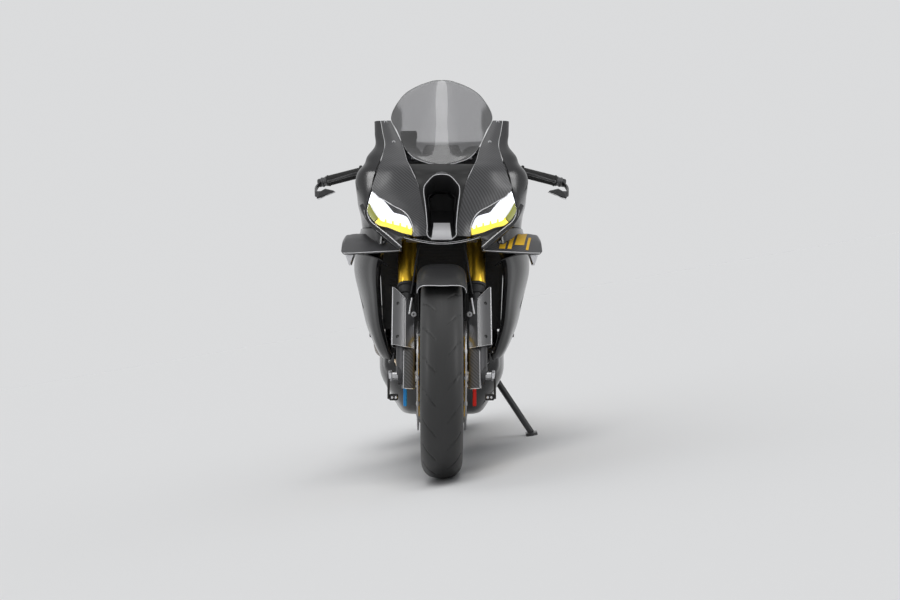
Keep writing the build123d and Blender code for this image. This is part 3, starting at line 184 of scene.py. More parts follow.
def loft(sections, ring=False):
    """Closed skin over rows of closed sections, with flat ends, or a ring where the rows loop."""
    sections = np.asarray(sections, float)
    rows, columns = sections.shape[:2]
    faces = quads(rows, columns, ring, True)
    loops, totals = faces.ravel(), np.full(len(faces), 4)
    if not ring:
        ends = (np.arange(columns)[::-1], np.arange(columns) + (rows - 1) * columns)
        loops = np.concatenate((loops,) + ends)
        totals = np.concatenate((totals, (columns, columns)))
    return body_of_faces(sections, loops, totals, spread(sections))


def prism(outline, origin, along, across, depth, bevel=1.5):
    """Plate: the outline in the plane of two directions, extruded, its rims stepped in by the bevel."""
    outline = np.asarray(outline, float)
    u, v = (np.asarray(d, float) / np.linalg.norm(d) for d in (along, across))
    normal = np.cross(u, v)
    ahead, behind = np.roll(outline, -1, axis=0) - outline, outline - np.roll(outline, 1, axis=0)
    ahead, behind = (e / np.linalg.norm(e, axis=1, keepdims=True) for e in (ahead, behind))
    turn = ahead + behind
    sense = np.sign(np.sum(outline[:, 0] * np.roll(outline[:, 1], -1) - np.roll(outline[:, 0], -1)
        * outline[:, 1]))
    inward = np.stack((-turn[:, 1], turn[:, 0]), axis=1) * sense
    inward = inward / np.maximum(np.sum(turn * turn, axis=1, keepdims=True) / 2, 0.3)
    small = outline + inward * bevel
    step = math.copysign(bevel, depth)
    rows = ((small, 0.0), (outline, step), (outline, depth - step), (small, depth))
    return loft([np.asarray(origin) + shape[:, :1] * u + shape[:, 1:] * v + normal * z for shape, z in rows])


def sweep(path, profile, across=(1, 0, 0), scale=None):
    """Profile carried along a path, kept square to it, its first axis nearest to across."""
    path, profile = np.asarray(path, float), np.asarray(profile, float)
    along = np.gradient(path, axis=0)
    along /= np.linalg.norm(along, axis=1, keepdims=True)
    first = np.asarray(across, float) - along * (along @ np.asarray(across, float))[:, None]
    first /= np.linalg.norm(first, axis=1, keepdims=True)
    second = np.cross(along, first)
    size = np.ones(len(path)) if scale is None else np.asarray(scale, float)
    return loft(path[:, None] + size[:, None, None] * (profile[None, :, :1] * first[:, None] + profile[None,
        :, 1:] * second[:, None]))


def circle(radius, count=24, flat=1.0):
    """Round or oval outline: cosine and sine of one turn, the sine flattened."""
    a = np.linspace(0, 2 * math.pi, count, endpoint=False)
    return np.stack((radius * np.cos(a), radius * flat * np.sin(a)), axis=1)


def oblong(half_wide, half_high, corner, count=5):
    """Rectangle with round corners: a quarter circle turned into each of its four corners."""
    a = np.linspace(0, math.pi / 2, count)
    quarter = corner * np.stack((np.cos(a), np.sin(a)), axis=1)
    middle = (half_wide - corner, half_high - corner)
    turns = []
    for k in range(4):
        c, s = (1, 0, -1, 0)[k], (0, 1, 0, -1)[k]
        corner_at = ((1, 1), (-1, 1), (-1, -1), (1, -1))[k]
        turns.append(np.stack((quarter[:, 0] * c - quarter[:, 1] * s, quarter[:, 0] * s + quarter[:, 1] * c),
            axis=1)
                     + np.array(corner_at) * middle)
    return np.concatenate(turns)


def pin(start, end, radius, count=20, bevel=1.0):
    """Round bar between two points with its rims stepped in."""
    start, end = np.asarray(start, float), np.asarray(end, float)
    length = np.linalg.norm(end - start)
    along = (end - start) / length
    helper = np.eye(3)[np.argmin(np.abs(along))]
    u = np.cross(along, helper)
    u /= np.linalg.norm(u)
    return prism(circle(radius, count), start, u, np.cross(along, u), length, bevel)


def turned_shape(profile, centre, axis, count=96):
    """Profile of (radius, along) carried once round an axis: a ring where it stays off the axis."""
    profile = np.asarray(profile, float)
    axis = np.asarray(axis, float) / np.linalg.norm(axis)
    helper = np.eye(3)[np.argmin(np.abs(axis))]
    u = np.cross(axis, helper)
    u /= np.linalg.norm(u)
    v = np.cross(axis, u)
    a = np.linspace(0, 2 * math.pi, count, endpoint=False)
    spoke = np.cos(a)[:, None] * u + np.sin(a)[:, None] * v
    return loft(np.asarray(centre) + profile[None, :, :1] * spoke[:, None] + profile[None, :, 1:] * axis,
                ring=True)


def piece(name, part, material, body, slot, *nodes, crease=32):
    """Mesh object of a part, in the frame's metres, riding on a body and standing for CAD nodes."""
    points, loops, totals, uv = part
    mesh = bpy.data.meshes.new(name)
    mesh.vertices.add(len(points))
    mesh.vertices.foreach_set("co", park(points).ravel())
    mesh.loops.add(len(loops))
    mesh.loops.foreach_set("vertex_index", loops)
    mesh.polygons.add(len(totals))
    mesh.polygons.foreach_set("loop_start", np.cumsum(totals) - totals)
    layer = mesh.uv_layers.new(name="surface")
    layer.data.foreach_set("uv", uv[loops].ravel())
    mesh.update()
    mesh.validate()
    mesh.polygons.foreach_set("use_smooth", np.ones(len(mesh.polygons), bool))
    mesh.set_sharp_from_angle(angle=math.radians(crease))
    mesh.materials.append(material)
    thing = bpy.data.objects.new(name, mesh)
    bpy.context.scene.collection.objects.link(thing)
    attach(thing, body)
    if nodes:
        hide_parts(*nodes)
    return thing


# ================= finishes =================
def add_node(tree, kind, values=None, links=None, **settings):
    """A node with its settings, plain socket values and links from other sockets."""
    made = tree.nodes.new(kind)
    for key, value in settings.items():
        setattr(made, key, value)
    for key, value in (values or {}).items():
        made.inputs[key].default_value = value
    for key, source in (links or {}).items():
        tree.links.new(source, made.inputs[key])
    return made


def sums(tree, operation, *terms, clamp=False):
    """Math node: each term is a socket or a number."""
    made = tree.nodes.new("ShaderNodeMath")
    made.operation, made.use_clamp = operation, clamp
    for socket, term in zip(made.inputs, terms):
        if isinstance(term, (int, float)):
            socket.default_value = term
        else:
            tree.links.new(term, socket)
    return made.outputs[0]


def effect(name, inputs, outputs):
    """Empty shader node group with named inputs and outputs."""
    tree = bpy.data.node_groups.new(name, "ShaderNodeTree")
    for label, kind, value in inputs:
        socket = tree.interface.new_socket(label, in_out="INPUT", socket_type=kind)
        if value is not None:
            socket.default_value = value
    for label, kind in outputs:
        tree.interface.new_socket(label, in_out="OUTPUT", socket_type=kind)
    return tree, tree.nodes.new("NodeGroupInput").outputs, tree.nodes.new("NodeGroupOutput").inputs


FLOAT, COLOUR, VECTOR = "NodeSocketFloat", "NodeSocketColor", "NodeSocketVector"


def make_twill():
    """2 x 2 twill: a tow shows on top in two cells of four, each row one cell further on."""
    tree, given, out = effect("twill weave", (("Vector", VECTOR, None), ("Tow", FLOAT, 0.003),
        ("Dark", COLOUR, (0.01, 0.01, 0.011, 1)),
                                              ("Light", COLOUR, (0.07, 0.072, 0.078, 1))),
                                              (("Color", COLOUR), ("Height", FLOAT), ("Rough", FLOAT)))
    split = add_node(tree, "ShaderNodeSeparateXYZ", links={0: given["Vector"]})
    u, v = (sums(tree, "DIVIDE", split.outputs[k], given["Tow"]) for k in (0, 1))
    cell = sums(tree, "ADD", sums(tree, "FLOOR", u), sums(tree, "FLOOR", v))
    on_top = sums(tree, "LESS_THAN", sums(tree, "FLOORED_MODULO", cell, 4.0), 1.5)
    hump_u, hump_v = (sums(tree, "SINE", sums(tree, "MULTIPLY", sums(tree, "FRACT", k), math.pi))
        for k in (u, v))
    over = sums(tree, "MULTIPLY", on_top, hump_u)
    under = sums(tree, "MULTIPLY", sums(tree, "SUBTRACT", 1.0, on_top), hump_v)
    height = sums(tree, "ADD", over, under)
    # Painted sheen: the tows on top are painted lighter than those beneath, and every tow lighter along its
    # rounded middle, standing for the sheen the weave throws under light. The weave's layout itself is real.
    painted_sheen = sums(tree, "ADD", sums(tree, "MULTIPLY", on_top, 0.55), sums(tree, "MULTIPLY", height, 0.45))
    mix = add_node(tree, "ShaderNodeMix", links={0: painted_sheen, 6: given["Dark"], 7: given["Light"]},
                   data_type="RGBA")
    tree.links.new(mix.outputs[2], out["Color"])
    tree.links.new(height, out["Height"])
    tree.links.new(sums(tree, "ADD", sums(tree, "MULTIPLY", on_top, -0.12), 0.45), out["Rough"])
    return tree


def make_grain():
    """Fine noise for moulded or cast faces, with a slow drift of the base colour over it."""
    tree, given, out = effect("grain", (("Vector", VECTOR, None), ("Scale", FLOAT, 900.0),
        ("Colour", COLOUR, (0.1, 0.1, 0.1, 1)), ("Drift", FLOAT, 0.25),
                                        ("Rough", FLOAT, 0.5), ("Spread", FLOAT, 0.15)),
                                        (("Color", COLOUR), ("Height", FLOAT), ("Rough", FLOAT)))
    fine = add_node(tree, "ShaderNodeTexNoise", {"Detail": 3.0}, {"Vector": given["Vector"],
        "Scale": given["Scale"]})
    slow = add_node(tree, "ShaderNodeTexNoise", {"Detail": 4.0, "Scale": 14.0}, {"Vector": given["Vector"]})
    swing = sums(tree, "MULTIPLY", sums(tree, "SUBTRACT", slow.outputs[0], 0.5), given["Drift"])
    level = sums(tree, "ADD", 1.0, swing)
    colour = add_node(tree, "ShaderNodeVectorMath", links={0: given["Colour"]}, operation="SCALE")
    tree.links.new(level, colour.inputs["Scale"])
    tree.links.new(colour.outputs[0], out["Color"])
    tree.links.new(fine.outputs[0], out["Height"])
    both = sums(tree, "ADD", sums(tree, "MULTIPLY", fine.outputs[0], 0.4),
                sums(tree, "MULTIPLY", slow.outputs[0], 0.6))
    tree.links.new(sums(tree, "ADD", given["Rough"], sums(tree, "MULTIPLY", sums(tree, "SUBTRACT", both,
        0.5), given["Spread"]), clamp=True), out["Rough"])
    return tree


def make_brush():
    """Brushed metal: noise drawn out along one direction, for colour, roughness and height."""
    tree, given, out = effect("brushed", (("Vector", VECTOR, None), ("Colour", COLOUR, (0.5, 0.5, 0.5, 1)),
        ("Rough", FLOAT, 0.3), ("Amount", FLOAT, 0.2)),
                              (("Color", COLOUR), ("Height", FLOAT), ("Rough", FLOAT)))
    noise = add_node(tree, "ShaderNodeTexNoise", {"Scale": 1.0, "Detail": 4.0}, {"Vector": given["Vector"]})
    off = sums(tree, "SUBTRACT", noise.outputs[0], 0.5)
    colour = add_node(tree, "ShaderNodeVectorMath", links={0: given["Colour"]}, operation="SCALE")
    tree.links.new(sums(tree, "ADD", 1.0, sums(tree, "MULTIPLY", off, given["Amount"])),
                   colour.inputs["Scale"])
    tree.links.new(colour.outputs[0], out["Color"])
    tree.links.new(noise.outputs[0], out["Height"])
    tree.links.new(sums(tree, "ADD", given["Rough"], sums(tree, "MULTIPLY", off, given["Amount"]),
        clamp=True), out["Rough"])
    return tree


TWILL, GRAIN, BRUSH = make_twill(), make_grain(), make_brush()


def finish_material(name, group, values, stretch=None, space="Object", bump=0.1, depth=0.0002, metallic=0.0,
                    **shader):
    """Principled material fed by one of the shared effects."""
    material = bpy.data.materials.new(name)
    material.use_nodes = True
    tree = material.node_tree
    principled = tree.nodes["Principled BSDF"]
    principled.inputs["Metallic"].default_value = metallic
    for key, value in shader.items():
        principled.inputs[key.replace("_", " ")].default_value = value
    coordinate = add_node(tree, "ShaderNodeTexCoord")
    vector = coordinate.outputs["UV" if space == "UV" else "Object"]
    if stretch is not None:
        vector = add_node(tree, "ShaderNodeMapping", {"Scale": stretch}, {"Vector": vector}).outputs[0]
    look = add_node(tree, "ShaderNodeGroup", node_tree=group)
    tree.links.new(vector, look.inputs["Vector"])
    for key, value in values.items():
        look.inputs[key].default_value = value
    tree.links.new(look.outputs["Color"], principled.inputs["Base Color"])
    tree.links.new(look.outputs["Rough"], principled.inputs["Roughness"])
    height = add_node(tree, "ShaderNodeBump", {"Strength": bump, "Distance": depth},
        {"Height": look.outputs["Height"]})
    tree.links.new(height.outputs[0], principled.inputs["Normal"])
    return material


def grey(level, tint=0.0):
    """Grey with a little more blue where it is tinted."""
    return (level, level, level * (1 + tint), 1.0)


carbon = finish_material("carbon twill", TWILL, {"Tow": 0.0026, "Dark": grey(0.010, 0.05),
    "Light": grey(0.085, 0.05)}, space="UV",
                         bump=0.25, depth=0.0003, Specular_IOR_Level=0.35, Coat_Weight=0.4,
                         Coat_Roughness=0.28)
satin_carbon = finish_material("satin carbon twill", TWILL, {"Tow": 0.0026, "Dark": grey(0.006, 0.05),
    "Light": grey(0.035, 0.05)}, space="UV",
                               bump=0.2, depth=0.0003, Specular_IOR_Level=0.3)
gloss = finish_material("black gloss lacquer", GRAIN, {"Colour": grey(0.012, 0.1), "Rough": 0.22,
    "Spread": 0.08, "Scale": 300.0},
                        bump=0.02, Specular_IOR_Level=0.35, Coat_Weight=0.4, Coat_Roughness=0.16)
satin = finish_material("satin black", GRAIN, {"Colour": grey(0.03, 0.06), "Rough": 0.42, "Spread": 0.14,
    "Scale": 1400.0}, bump=0.06)
matt_black = finish_material("matt black", GRAIN, {"Colour": grey(0.006), "Rough": 0.55, "Spread": 0.15,
    "Scale": 1500.0}, bump=0.08)
moulded = finish_material("moulded black plastic", GRAIN, {"Colour": grey(0.022, 0.05), "Rough": 0.6,
    "Spread": 0.2, "Scale": 2200.0}, bump=0.25)
rubber = finish_material("tyre rubber", GRAIN, {"Colour": grey(0.024), "Rough": 0.52, "Spread": 0.2,
    "Scale": 1600.0}, bump=0.2)
grip_rubber = finish_material("grip rubber", GRAIN, {"Colour": grey(0.018), "Rough": 0.75, "Spread": 0.2,
    "Scale": 1800.0}, bump=0.3)
cast = finish_material("black cast alloy", GRAIN, {"Colour": grey(0.06, 0.05), "Rough": 0.5, "Spread": 0.22,
    "Scale": 1100.0}, bump=0.3, metallic=0.6)
engine_metal = finish_material("engine castings", GRAIN, {"Colour": grey(0.16, 0.04), "Rough": 0.45,
    "Spread": 0.25, "Scale": 800.0}, bump=0.35, metallic=0.8)
steel = finish_material("brushed steel", BRUSH, {"Colour": grey(0.5, 0.02), "Rough": 0.3, "Amount": 0.25},
    stretch=(40, 900, 900), metallic=1.0)
disc_steel = finish_material("ground disc steel", BRUSH, {"Colour": grey(0.46, 0.02), "Rough": 0.32,
    "Amount": 0.3}, stretch=(1500, 260, 260), metallic=1.0)
silver = finish_material("bright edging", BRUSH, {"Colour": grey(0.62, 0.03), "Rough": 0.22, "Amount": 0.15},
    stretch=(60, 60, 600), metallic=1.0)
gold = finish_material("gold anodised", BRUSH, {"Colour": (0.86, 0.54, 0.05, 1), "Rough": 0.3,
    "Amount": 0.07}, stretch=(700, 40, 40), metallic=1.0)
satin_grey = finish_material("satin grey lacquer", GRAIN, {"Colour": grey(0.075, 0.04), "Rough": 0.36,
    "Spread": 0.1, "Scale": 1500.0}, bump=0.05, metallic=0.3,
                             Coat_Weight=0.4, Coat_Roughness=0.2)
titanium = finish_material("titanium silencer", BRUSH, {"Colour": (0.34, 0.32, 0.3, 1), "Rough": 0.34,
    "Amount": 0.2}, stretch=(60, 60, 900), metallic=1.0)
pipe_metal = finish_material("exhaust steel", BRUSH, {"Colour": (0.42, 0.34, 0.25, 1), "Rough": 0.33,
    "Amount": 0.3}, stretch=(80, 80, 160), metallic=1.0)
seat_cloth = finish_material("seat cover", GRAIN, {"Colour": grey(0.026), "Rough": 0.78, "Spread": 0.15,
    "Scale": 1300.0}, bump=0.5, depth=0.0004)
yellow = finish_material("yellow lacquer", GRAIN, {"Colour": (0.85, 0.5, 0.02, 1), "Rough": 0.4,
    "Spread": 0.08, "Drift": 0.1}, bump=0.03)
blue = finish_material("blue anodised", BRUSH, {"Colour": (0.02, 0.3, 0.75, 1), "Rough": 0.3,
    "Amount": 0.15}, stretch=(500, 60, 60), metallic=0.4)
red = finish_material("red anodised", BRUSH, {"Colour": (0.6, 0.02, 0.015, 1), "Rough": 0.3, "Amount": 0.15},
    stretch=(500, 60, 60), metallic=0.7)
core_metal = finish_material("radiator core", BRUSH, {"Colour": grey(0.05), "Rough": 0.5, "Amount": 0.8},
    stretch=(60, 60, 1200), metallic=0.7, bump=0.8, depth=0.001)


def glass(name, colour, rough, transmission=1.0, **shader):
    """Clear or tinted plastic with faint waves."""
    return finish_material(name, GRAIN, {"Colour": colour, "Rough": rough, "Spread": 0.02, "Drift": 0.05,
        "Scale": 60.0},
                           bump=0.01, Transmission_Weight=transmission, IOR=1.45, **shader)


def glowing(name, colour, strength):
    """Lit lamp face: a plain glow with a faint grain in its colour."""
    material = finish_material(name, GRAIN, {"Colour": colour, "Rough": 0.3, "Spread": 0.05, "Scale": 500.0},
        bump=0.05)
    principled = material.node_tree.nodes["Principled BSDF"]
    look = [n for n in material.node_tree.nodes if n.type == "GROUP"][0]
    material.node_tree.links.new(look.outputs["Color"], principled.inputs["Emission Color"])
    principled.inputs["Emission Strength"].default_value = strength
    return material


smoked = glass("smoked screen", grey(0.09, 0.03), 0.03, Coat_Weight=1.0, Coat_Roughness=0.32)
clear = glass("clear lens", grey(0.9), 0.02)
red_lens = glass("red lens", (0.45, 0.01, 0.01, 1), 0.1, 0.6)
white_light = glowing("white light guide", (0.92, 0.94, 1.0, 1), 0.9)
amber_light = glowing("yellow light strip", (0.92, 0.74, 0.06, 1), 0.65)
olive_light = glowing("dim outer light strip", (0.28, 0.29, 0.03, 1), 0.22)
# Pale finish: the guard stays are pale parts, and the beads along panel edges made with it are painted edge
# highlights, standing for light caught on the edges of dark panels.
edging = finish_material("pale trim and painted edge highlights", GRAIN, {"Colour": grey(0.72, 0.02), "Rough": 0.35, "Spread": 0.1,
    "Scale": 900.0}, bump=0.03, metallic=0.25)
pale_metal = finish_material("pale satin metal", GRAIN, {"Colour": grey(0.62, 0.02), "Rough": 0.38,
    "Spread": 0.1, "Scale": 1200.0}, bump=0.04, metallic=0.4)


# ================= carried-over nodes =================
CAD_FINISH = {
    moulded: ("instrument", "brake_reservoir", "handlebars", "air_duct"),
    core_metal: ("radiator",),
    grip_rubber: ("grips",),
    satin: ("levers", "lever_guards", "front_rim", "rear_rim", "rear_subframe", "footrests", "stand_bracket",
            "side_stand", "front_calipers", "rear_caliper",
            "rear_hugger", "belly_pan"),
    cast: ("main_frame", "swingarm", "triple_clamps", "fork_feet"),
    engine_metal: ("engine_block",),
    disc_steel: ("front_discs", "rear_disc"),
    gold: ("fork_tubes", "drive_chain"),
    titanium: ("silencer",),
    pipe_metal: ("exhaust_pipes",),
    carbon: ("front_mudguard", "brake_ducts", "winglets"),
    gloss: ("fuel_tank", "seat_cowl", "side_fairings", "upper_fairings", "nose_cowl", "ear_panels"),
    seat_cloth: ("rider_seat",),
    smoked: ("windscreen",),
    clear: ("headlamps",),
    red_lens: ("tail_lamp",),
    rubber: ("front_tyre", "rear_tyre"),
    steel: ("front_axle", "rear_axle", "pivot_shaft", "front_sprocket", "rear_sprocket", "rear_shock"),
}
for material, names in CAD_FINISH.items():
    for name in names:
        mesh = frame["nodes"][name].data
        mesh.materials.clear()
        mesh.materials.append(material)


# ================= bodywork =================
def both(control, rows, columns, thick=3.0):
    """Smooth panel on the left and its twin on the right."""
    return mirrored(shell(net(control, rows, columns), thick))


def levels(table):
    """Rows of (z, ((x, s), ...)) as points."""
    return [[(x, s, z) for x, s in row] for z, row in table]


EAR = (
    # z, then (x, s): edge beside the mouth, crest, lamp edge or seam
    (709, ((40.5, -9), (60, -6), (83, 9))),
    (735, ((43, -4), (64, 0), (86, 12))),
    (758, ((46.5, 1), (70, 7), (93, 15))),
    (785, ((51.5, 7), (82, 14), (114, 25))),
    (800, ((55, 11), (97, 20), (140, 38))),
    (816, ((58, 14), (112, 27), (166, 51))),
    (834, ((62.5, 19), (128, 36), (194, 65))),
    (850, ((66, 24), (137, 41), (207, 73))),
    (880, ((77, 34), (141, 48), (200, 80))),
    (910, ((91, 45), (144, 60), (190, 86))),
    (938, ((104, 84), (146, 90), (182, 104))),
    (967, ((112, 125), (145, 127), (176, 136))),
    (992, ((120, 158), (147, 158), (172, 164))),
    (1035, ((139, 204), (160, 204), (180, 210))),
    (1077, ((159, 250), (174, 250), (188, 254))),
)
piece("ear_skins", both(levels(EAR), 90, 24), carbon, "chassis", "carbon_gloss", "ear_panels")

CHEEK = (
    # z, then (x, s) from the seam round the widest line to the rear edge
    (744, ((200, 114), (208, 124), (234, 180), (246, 300), (246, 392), (222, 500))),
    (783, ((222, 92), (230, 106), (243, 172), (249, 288), (246, 384), (216, 482))),
    (815, ((222, 84), (232, 98), (250, 158), (254, 272), (243, 374), (209, 464))),
    (836, ((215, 84), (232, 99), (252, 148), (252, 255), (239, 360), (203, 448))),
    (858, ((209, 84), (232, 100), (255, 138), (250, 235), (233, 338), (196, 430))),
    (885, ((204, 85), (232, 103), (257, 136), (244, 212), (222, 298), (189, 384))),
    (910, ((196, 88), (227, 106), (250, 138), (233, 190), (214, 250), (190, 318))),
    (935, ((187, 102), (211, 114), (230, 138), (219, 172), (208, 216), (190, 264))),
    (955, ((181, 120), (204, 127), (223, 144), (214, 168), (202, 196), (189, 232))),
    (989, ((174, 160), (190, 163), (201, 171), (198, 184), (193, 200), (186, 220))),
    (1035, ((182, 211), (194, 213), (203, 219), (200, 229), (195, 239), (188, 250))),
    (1077, ((190, 255), (199, 257), (206, 263), (204, 270), (199, 277), (192, 282))),
)
piece("cheek_skins", both(levels(CHEEK), 84, 44), gloss, "chassis", "carbon_gloss", "upper_fairings")

SIDE = (
    # z, then (x, s) from the front flange over the edge to the rear
    (330, ((156, 352), (160, 346), (172, 362), (186, 430), (192, 500), (190, 604))),
    (352, ((162, 334), (166, 328), (184, 344), (198, 410), (203, 480), (198, 606))),
    (430, ((182, 290), (188, 284), (207, 302), (231, 380), (235, 470), (218, 612))),
    (527, ((190, 222), (196, 214), (216, 240), (251, 340), (257, 450), (230, 600))),
    (623, ((186, 152), (194, 143), (224, 185), (268, 300), (275, 420), (240, 580))),
    (700, ((168, 98), (176, 89), (200, 112), (252, 230), (263, 380), (225, 560))),
    (743, ((172, 112), (180, 104), (207, 140), (245, 250), (251, 390), (215, 540))),
)


def cut(thing, cutter, crease=32):
    """Take a closed part's volume out of a piece."""
    points, loops, totals = cutter[:3]
    mesh = bpy.data.meshes.new("cutter")
    mesh.from_pydata(park(points), [], [list(f) for f in np.split(loops, np.cumsum(totals)[:-1])])
    mesh.materials.append(thing.data.materials[0])
    tool = bpy.data.objects.new("cutter", mesh)
    bpy.context.scene.collection.objects.link(tool)
    step = thing.modifiers.new("cut", "BOOLEAN")
    step.operation, step.object, step.solver = "DIFFERENCE", tool, "EXACT"
    result = bpy.data.meshes.new_from_object(thing.evaluated_get(bpy.context.evaluated_depsgraph_get()))
    thing.modifiers.clear()
    old, thing.data = thing.data, result
    bpy.data.meshes.remove(old)
    bpy.data.objects.remove(tool, do_unlink=True)
    bpy.data.meshes.remove(mesh)
    result.name = thing.name
    result.set_sharp_from_angle(angle=math.radians(crease))


side_skins = piece("side_skins", both(levels(SIDE), 90, 56), gloss, "chassis", "carbon_gloss",
                   "side_fairings")
VENTS = ((372, 545), (408, 535), (444, 525))
SLANT = math.radians(64)
slots = [prism(oblong(55, 7.5, 7), (180, s, z), (0, math.cos(SLANT), math.sin(SLANT)),
               (0, -math.sin(SLANT), math.cos(SLANT)), 140, 1.0) for s, z in VENTS]
cut(side_skins, mirrored(together(*slots)))

NOSE = (
    # z, half width, s at the edge, s of the centre line
    (892, 85, 44, 22),
    (902, 90, 48, 25),
    (914, 96, 57, 42),
    (926, 103, 74, 72),
)
nose_sections = [[(x * half, middle + (edge - middle) * x * x, z) for x in (-1, -0.6, -0.25, 0.25, 0.6, 1)]
                 for z, half, edge, middle in NOSE]
piece("nose_bridge", shell(net(nose_sections, 14, 24), 2.5), matt_black, "chassis", "carbon_gloss",
      "nose_cowl")
NOSE_SIDE = (
    # z, then (x, s) beside the mouth and beside the ear
    (712, ((40, -17), (41, -9))),
    (758, ((44, -14), (46, 0))),
    (785, ((46, -12), (51, 6))),
    (812, ((48.5, -9), (57, 13))),
    (840, ((52, -5), (63, 21))),
    (856, ((50, 0), (67, 26))),
    (868, ((41, 5), (72, 30))),
    (880, ((30, 10), (77, 34))),
    (888, ((16, 14), (80, 38))),
    (894, ((2, 17), (82, 41))),
)
piece("nose_sides", mirrored(shell(net(levels(NOSE_SIDE), 60, 8), 2.5)), matt_black, "chassis",
      "carbon_gloss")


def outline_loop(half, count):
    """Closed outline from its half at positive x, top to bottom, evenly spaced, and the mirror of it."""
    half = np.asarray(half, float)
    one = line(half, count)
    return np.concatenate((one, (one * (-1, 1))[::-1]))


MOUTH_HALF = ((2, 889), (21, 886), (30, 879.5), (41, 867), (50, 855), (52, 839), (48.5, 810), (45.5, 783),
              (42, 740), (39, 708), (30, 702), (2, 701))
MOUTH_RINGS = (
    # s, width factor, height factor about the middle height
    (-19, 1.0, 1.0),
    (-12, 0.97, 0.985),
    (30, 0.93, 0.85),
    (94, 0.82, 0.56),
)
MOUTH_MIDDLE = 800.0


def mouth_sections(grow):
    """The mouth's rings, each drawn in towards the middle height and grown by a wall."""
    flat = outline_loop(MOUTH_HALF, 40)
    return [np.stack((flat[:, 0] * (w + grow / 46), np.full(len(flat), s),
        MOUTH_MIDDLE + (flat[:, 1] - MOUTH_MIDDLE) * (h + grow / 94)), axis=1)
            for s, w, h in MOUTH_RINGS]


piece("mouth_tunnel", loft(mouth_sections(0.0) + mouth_sections(2.5)[::-1], ring=True), moulded, "chassis",
      "black_plastic")


def bead(path, radius, loop=False, count=8):
    """Thin round moulding along a path, closed into a ring where it loops."""
    path = np.asarray(path, float)
    if not loop:
        along = np.gradient(path, axis=0)
        along /= np.linalg.norm(along, axis=1, keepdims=True)
        return sweep(path, circle(radius, count), across=np.eye(3)[np.abs(along).max(axis=0).argmin()])
    along = np.roll(path, -1, axis=0) - np.roll(path, 1, axis=0)
    along /= np.linalg.norm(along, axis=1, keepdims=True)
    helper = np.where(np.abs(along[:, 1:2]) < 0.8, np.array((0.0, 1.0, 0.0)), np.array((0.0, 0.0, 1.0)))
    first = np.cross(along, helper)
    first /= np.linalg.norm(first, axis=1, keepdims=True)
    second = np.cross(along, first)
    ring = circle(radius, count)
    return loft(path[:, None] + ring[None, :, :1] * first[:, None] + ring[None, :, 1:] * second[:, None],
                ring=True)


# Painted highlight: the pale bead round the mouth stands for light caught on the mouth's edge.
piece("mouth_edge_highlight", bead(mouth_sections(0.6)[0] + (0, -1.2, 0), 1.1, loop=True), edging, "chassis",
      "bare_steel")
piece("mouth_top_lip", sweep(line([(-17, 10, 892), (0, 6, 893), (17, 10, 892)], 24), circle(6.0, 16, 0.8),
    across=(0, 0, 1),
                             scale=np.sin(np.linspace(0.25, math.pi - 0.25, 24)) ** 0.4), satin_grey,
                             "chassis", "black_plastic")
piece("mouth_tongue", shell(net([[(x, s, z) for x in (-w, -w / 3, w / 3, w)] for w, s,
    z in ((31, -22, 697), (29, -12, 706), (26, 8, 728), (24, 26, 748))], 24, 12), 2.5),
      pale_metal, "chassis", "bare_steel")

LIP = ((118, 30, 700), (110, 6, 706), (84, -6, 699), (40, -17, 690), (0, -21, 687), (-40, -17, 690),
       (-84, -6, 699), (-110, 6, 706), (-118, 30, 700))
lip_line = line(LIP, 70)
piece("chin_lip", sweep(lip_line, oblong(7.5, 2.6, 2.2), across=(0, 1, 0)), gloss, "chassis", "carbon_gloss")
# Painted highlights: the two pale beads under the chin lip stand for light caught along its edges.
piece("chin_edge_highlights", together(bead(lip_line[6:-6] + (0, -8.2, -2.0), 0.7),
    bead(lip_line[14:-14] + (0, -7.4, 2.6), 0.5)), edging, "chassis", "bare_steel")
CHIN = (
    # across the chin from its lip back to the radiator duct
    ((-104, 6, 700), (-40, -12, 690), (0, -16, 688), (40, -12, 690), (104, 6, 700)),
    ((-106, 40, 694), (-40, 30, 690), (0, 28, 689), (40, 30, 690), (106, 40, 694)),
    ((-100, 78, 694), (-40, 80, 700), (0, 80, 702), (40, 80, 700), (100, 78, 694)),
)
piece("chin_skin", shell(net(CHIN, 20, 40), 2.5), moulded, "chassis", "black_plastic")


def lamp_plane(points, lift=0.0):
    """Points of (x, z) set on the lamp's slanting face, lift millimetres in front of it."""
    p = np.asarray(points, float)
    return np.stack((p[:, 0], 14 + (p[:, 0] - 88) * 0.5 - lift, p[:, 1]), axis=1)


def between(upper, lower, columns, rows, lift=0.0, bulge=0.0):
    """Grid of rows between two lines, each evenly divided, bulging forwards at its middle."""
    a, b = line(lamp_plane(upper, lift), columns), line(lamp_plane(lower, lift), columns)
    t = np.linspace(0, 1, rows)[:, None, None]
    grid = a * (1 - t) + b * t
    grid[..., 1] -= bulge * np.sin(math.pi * t[..., 0]) * np.sin(math.pi * np.linspace(0, 1, columns))
    return grid


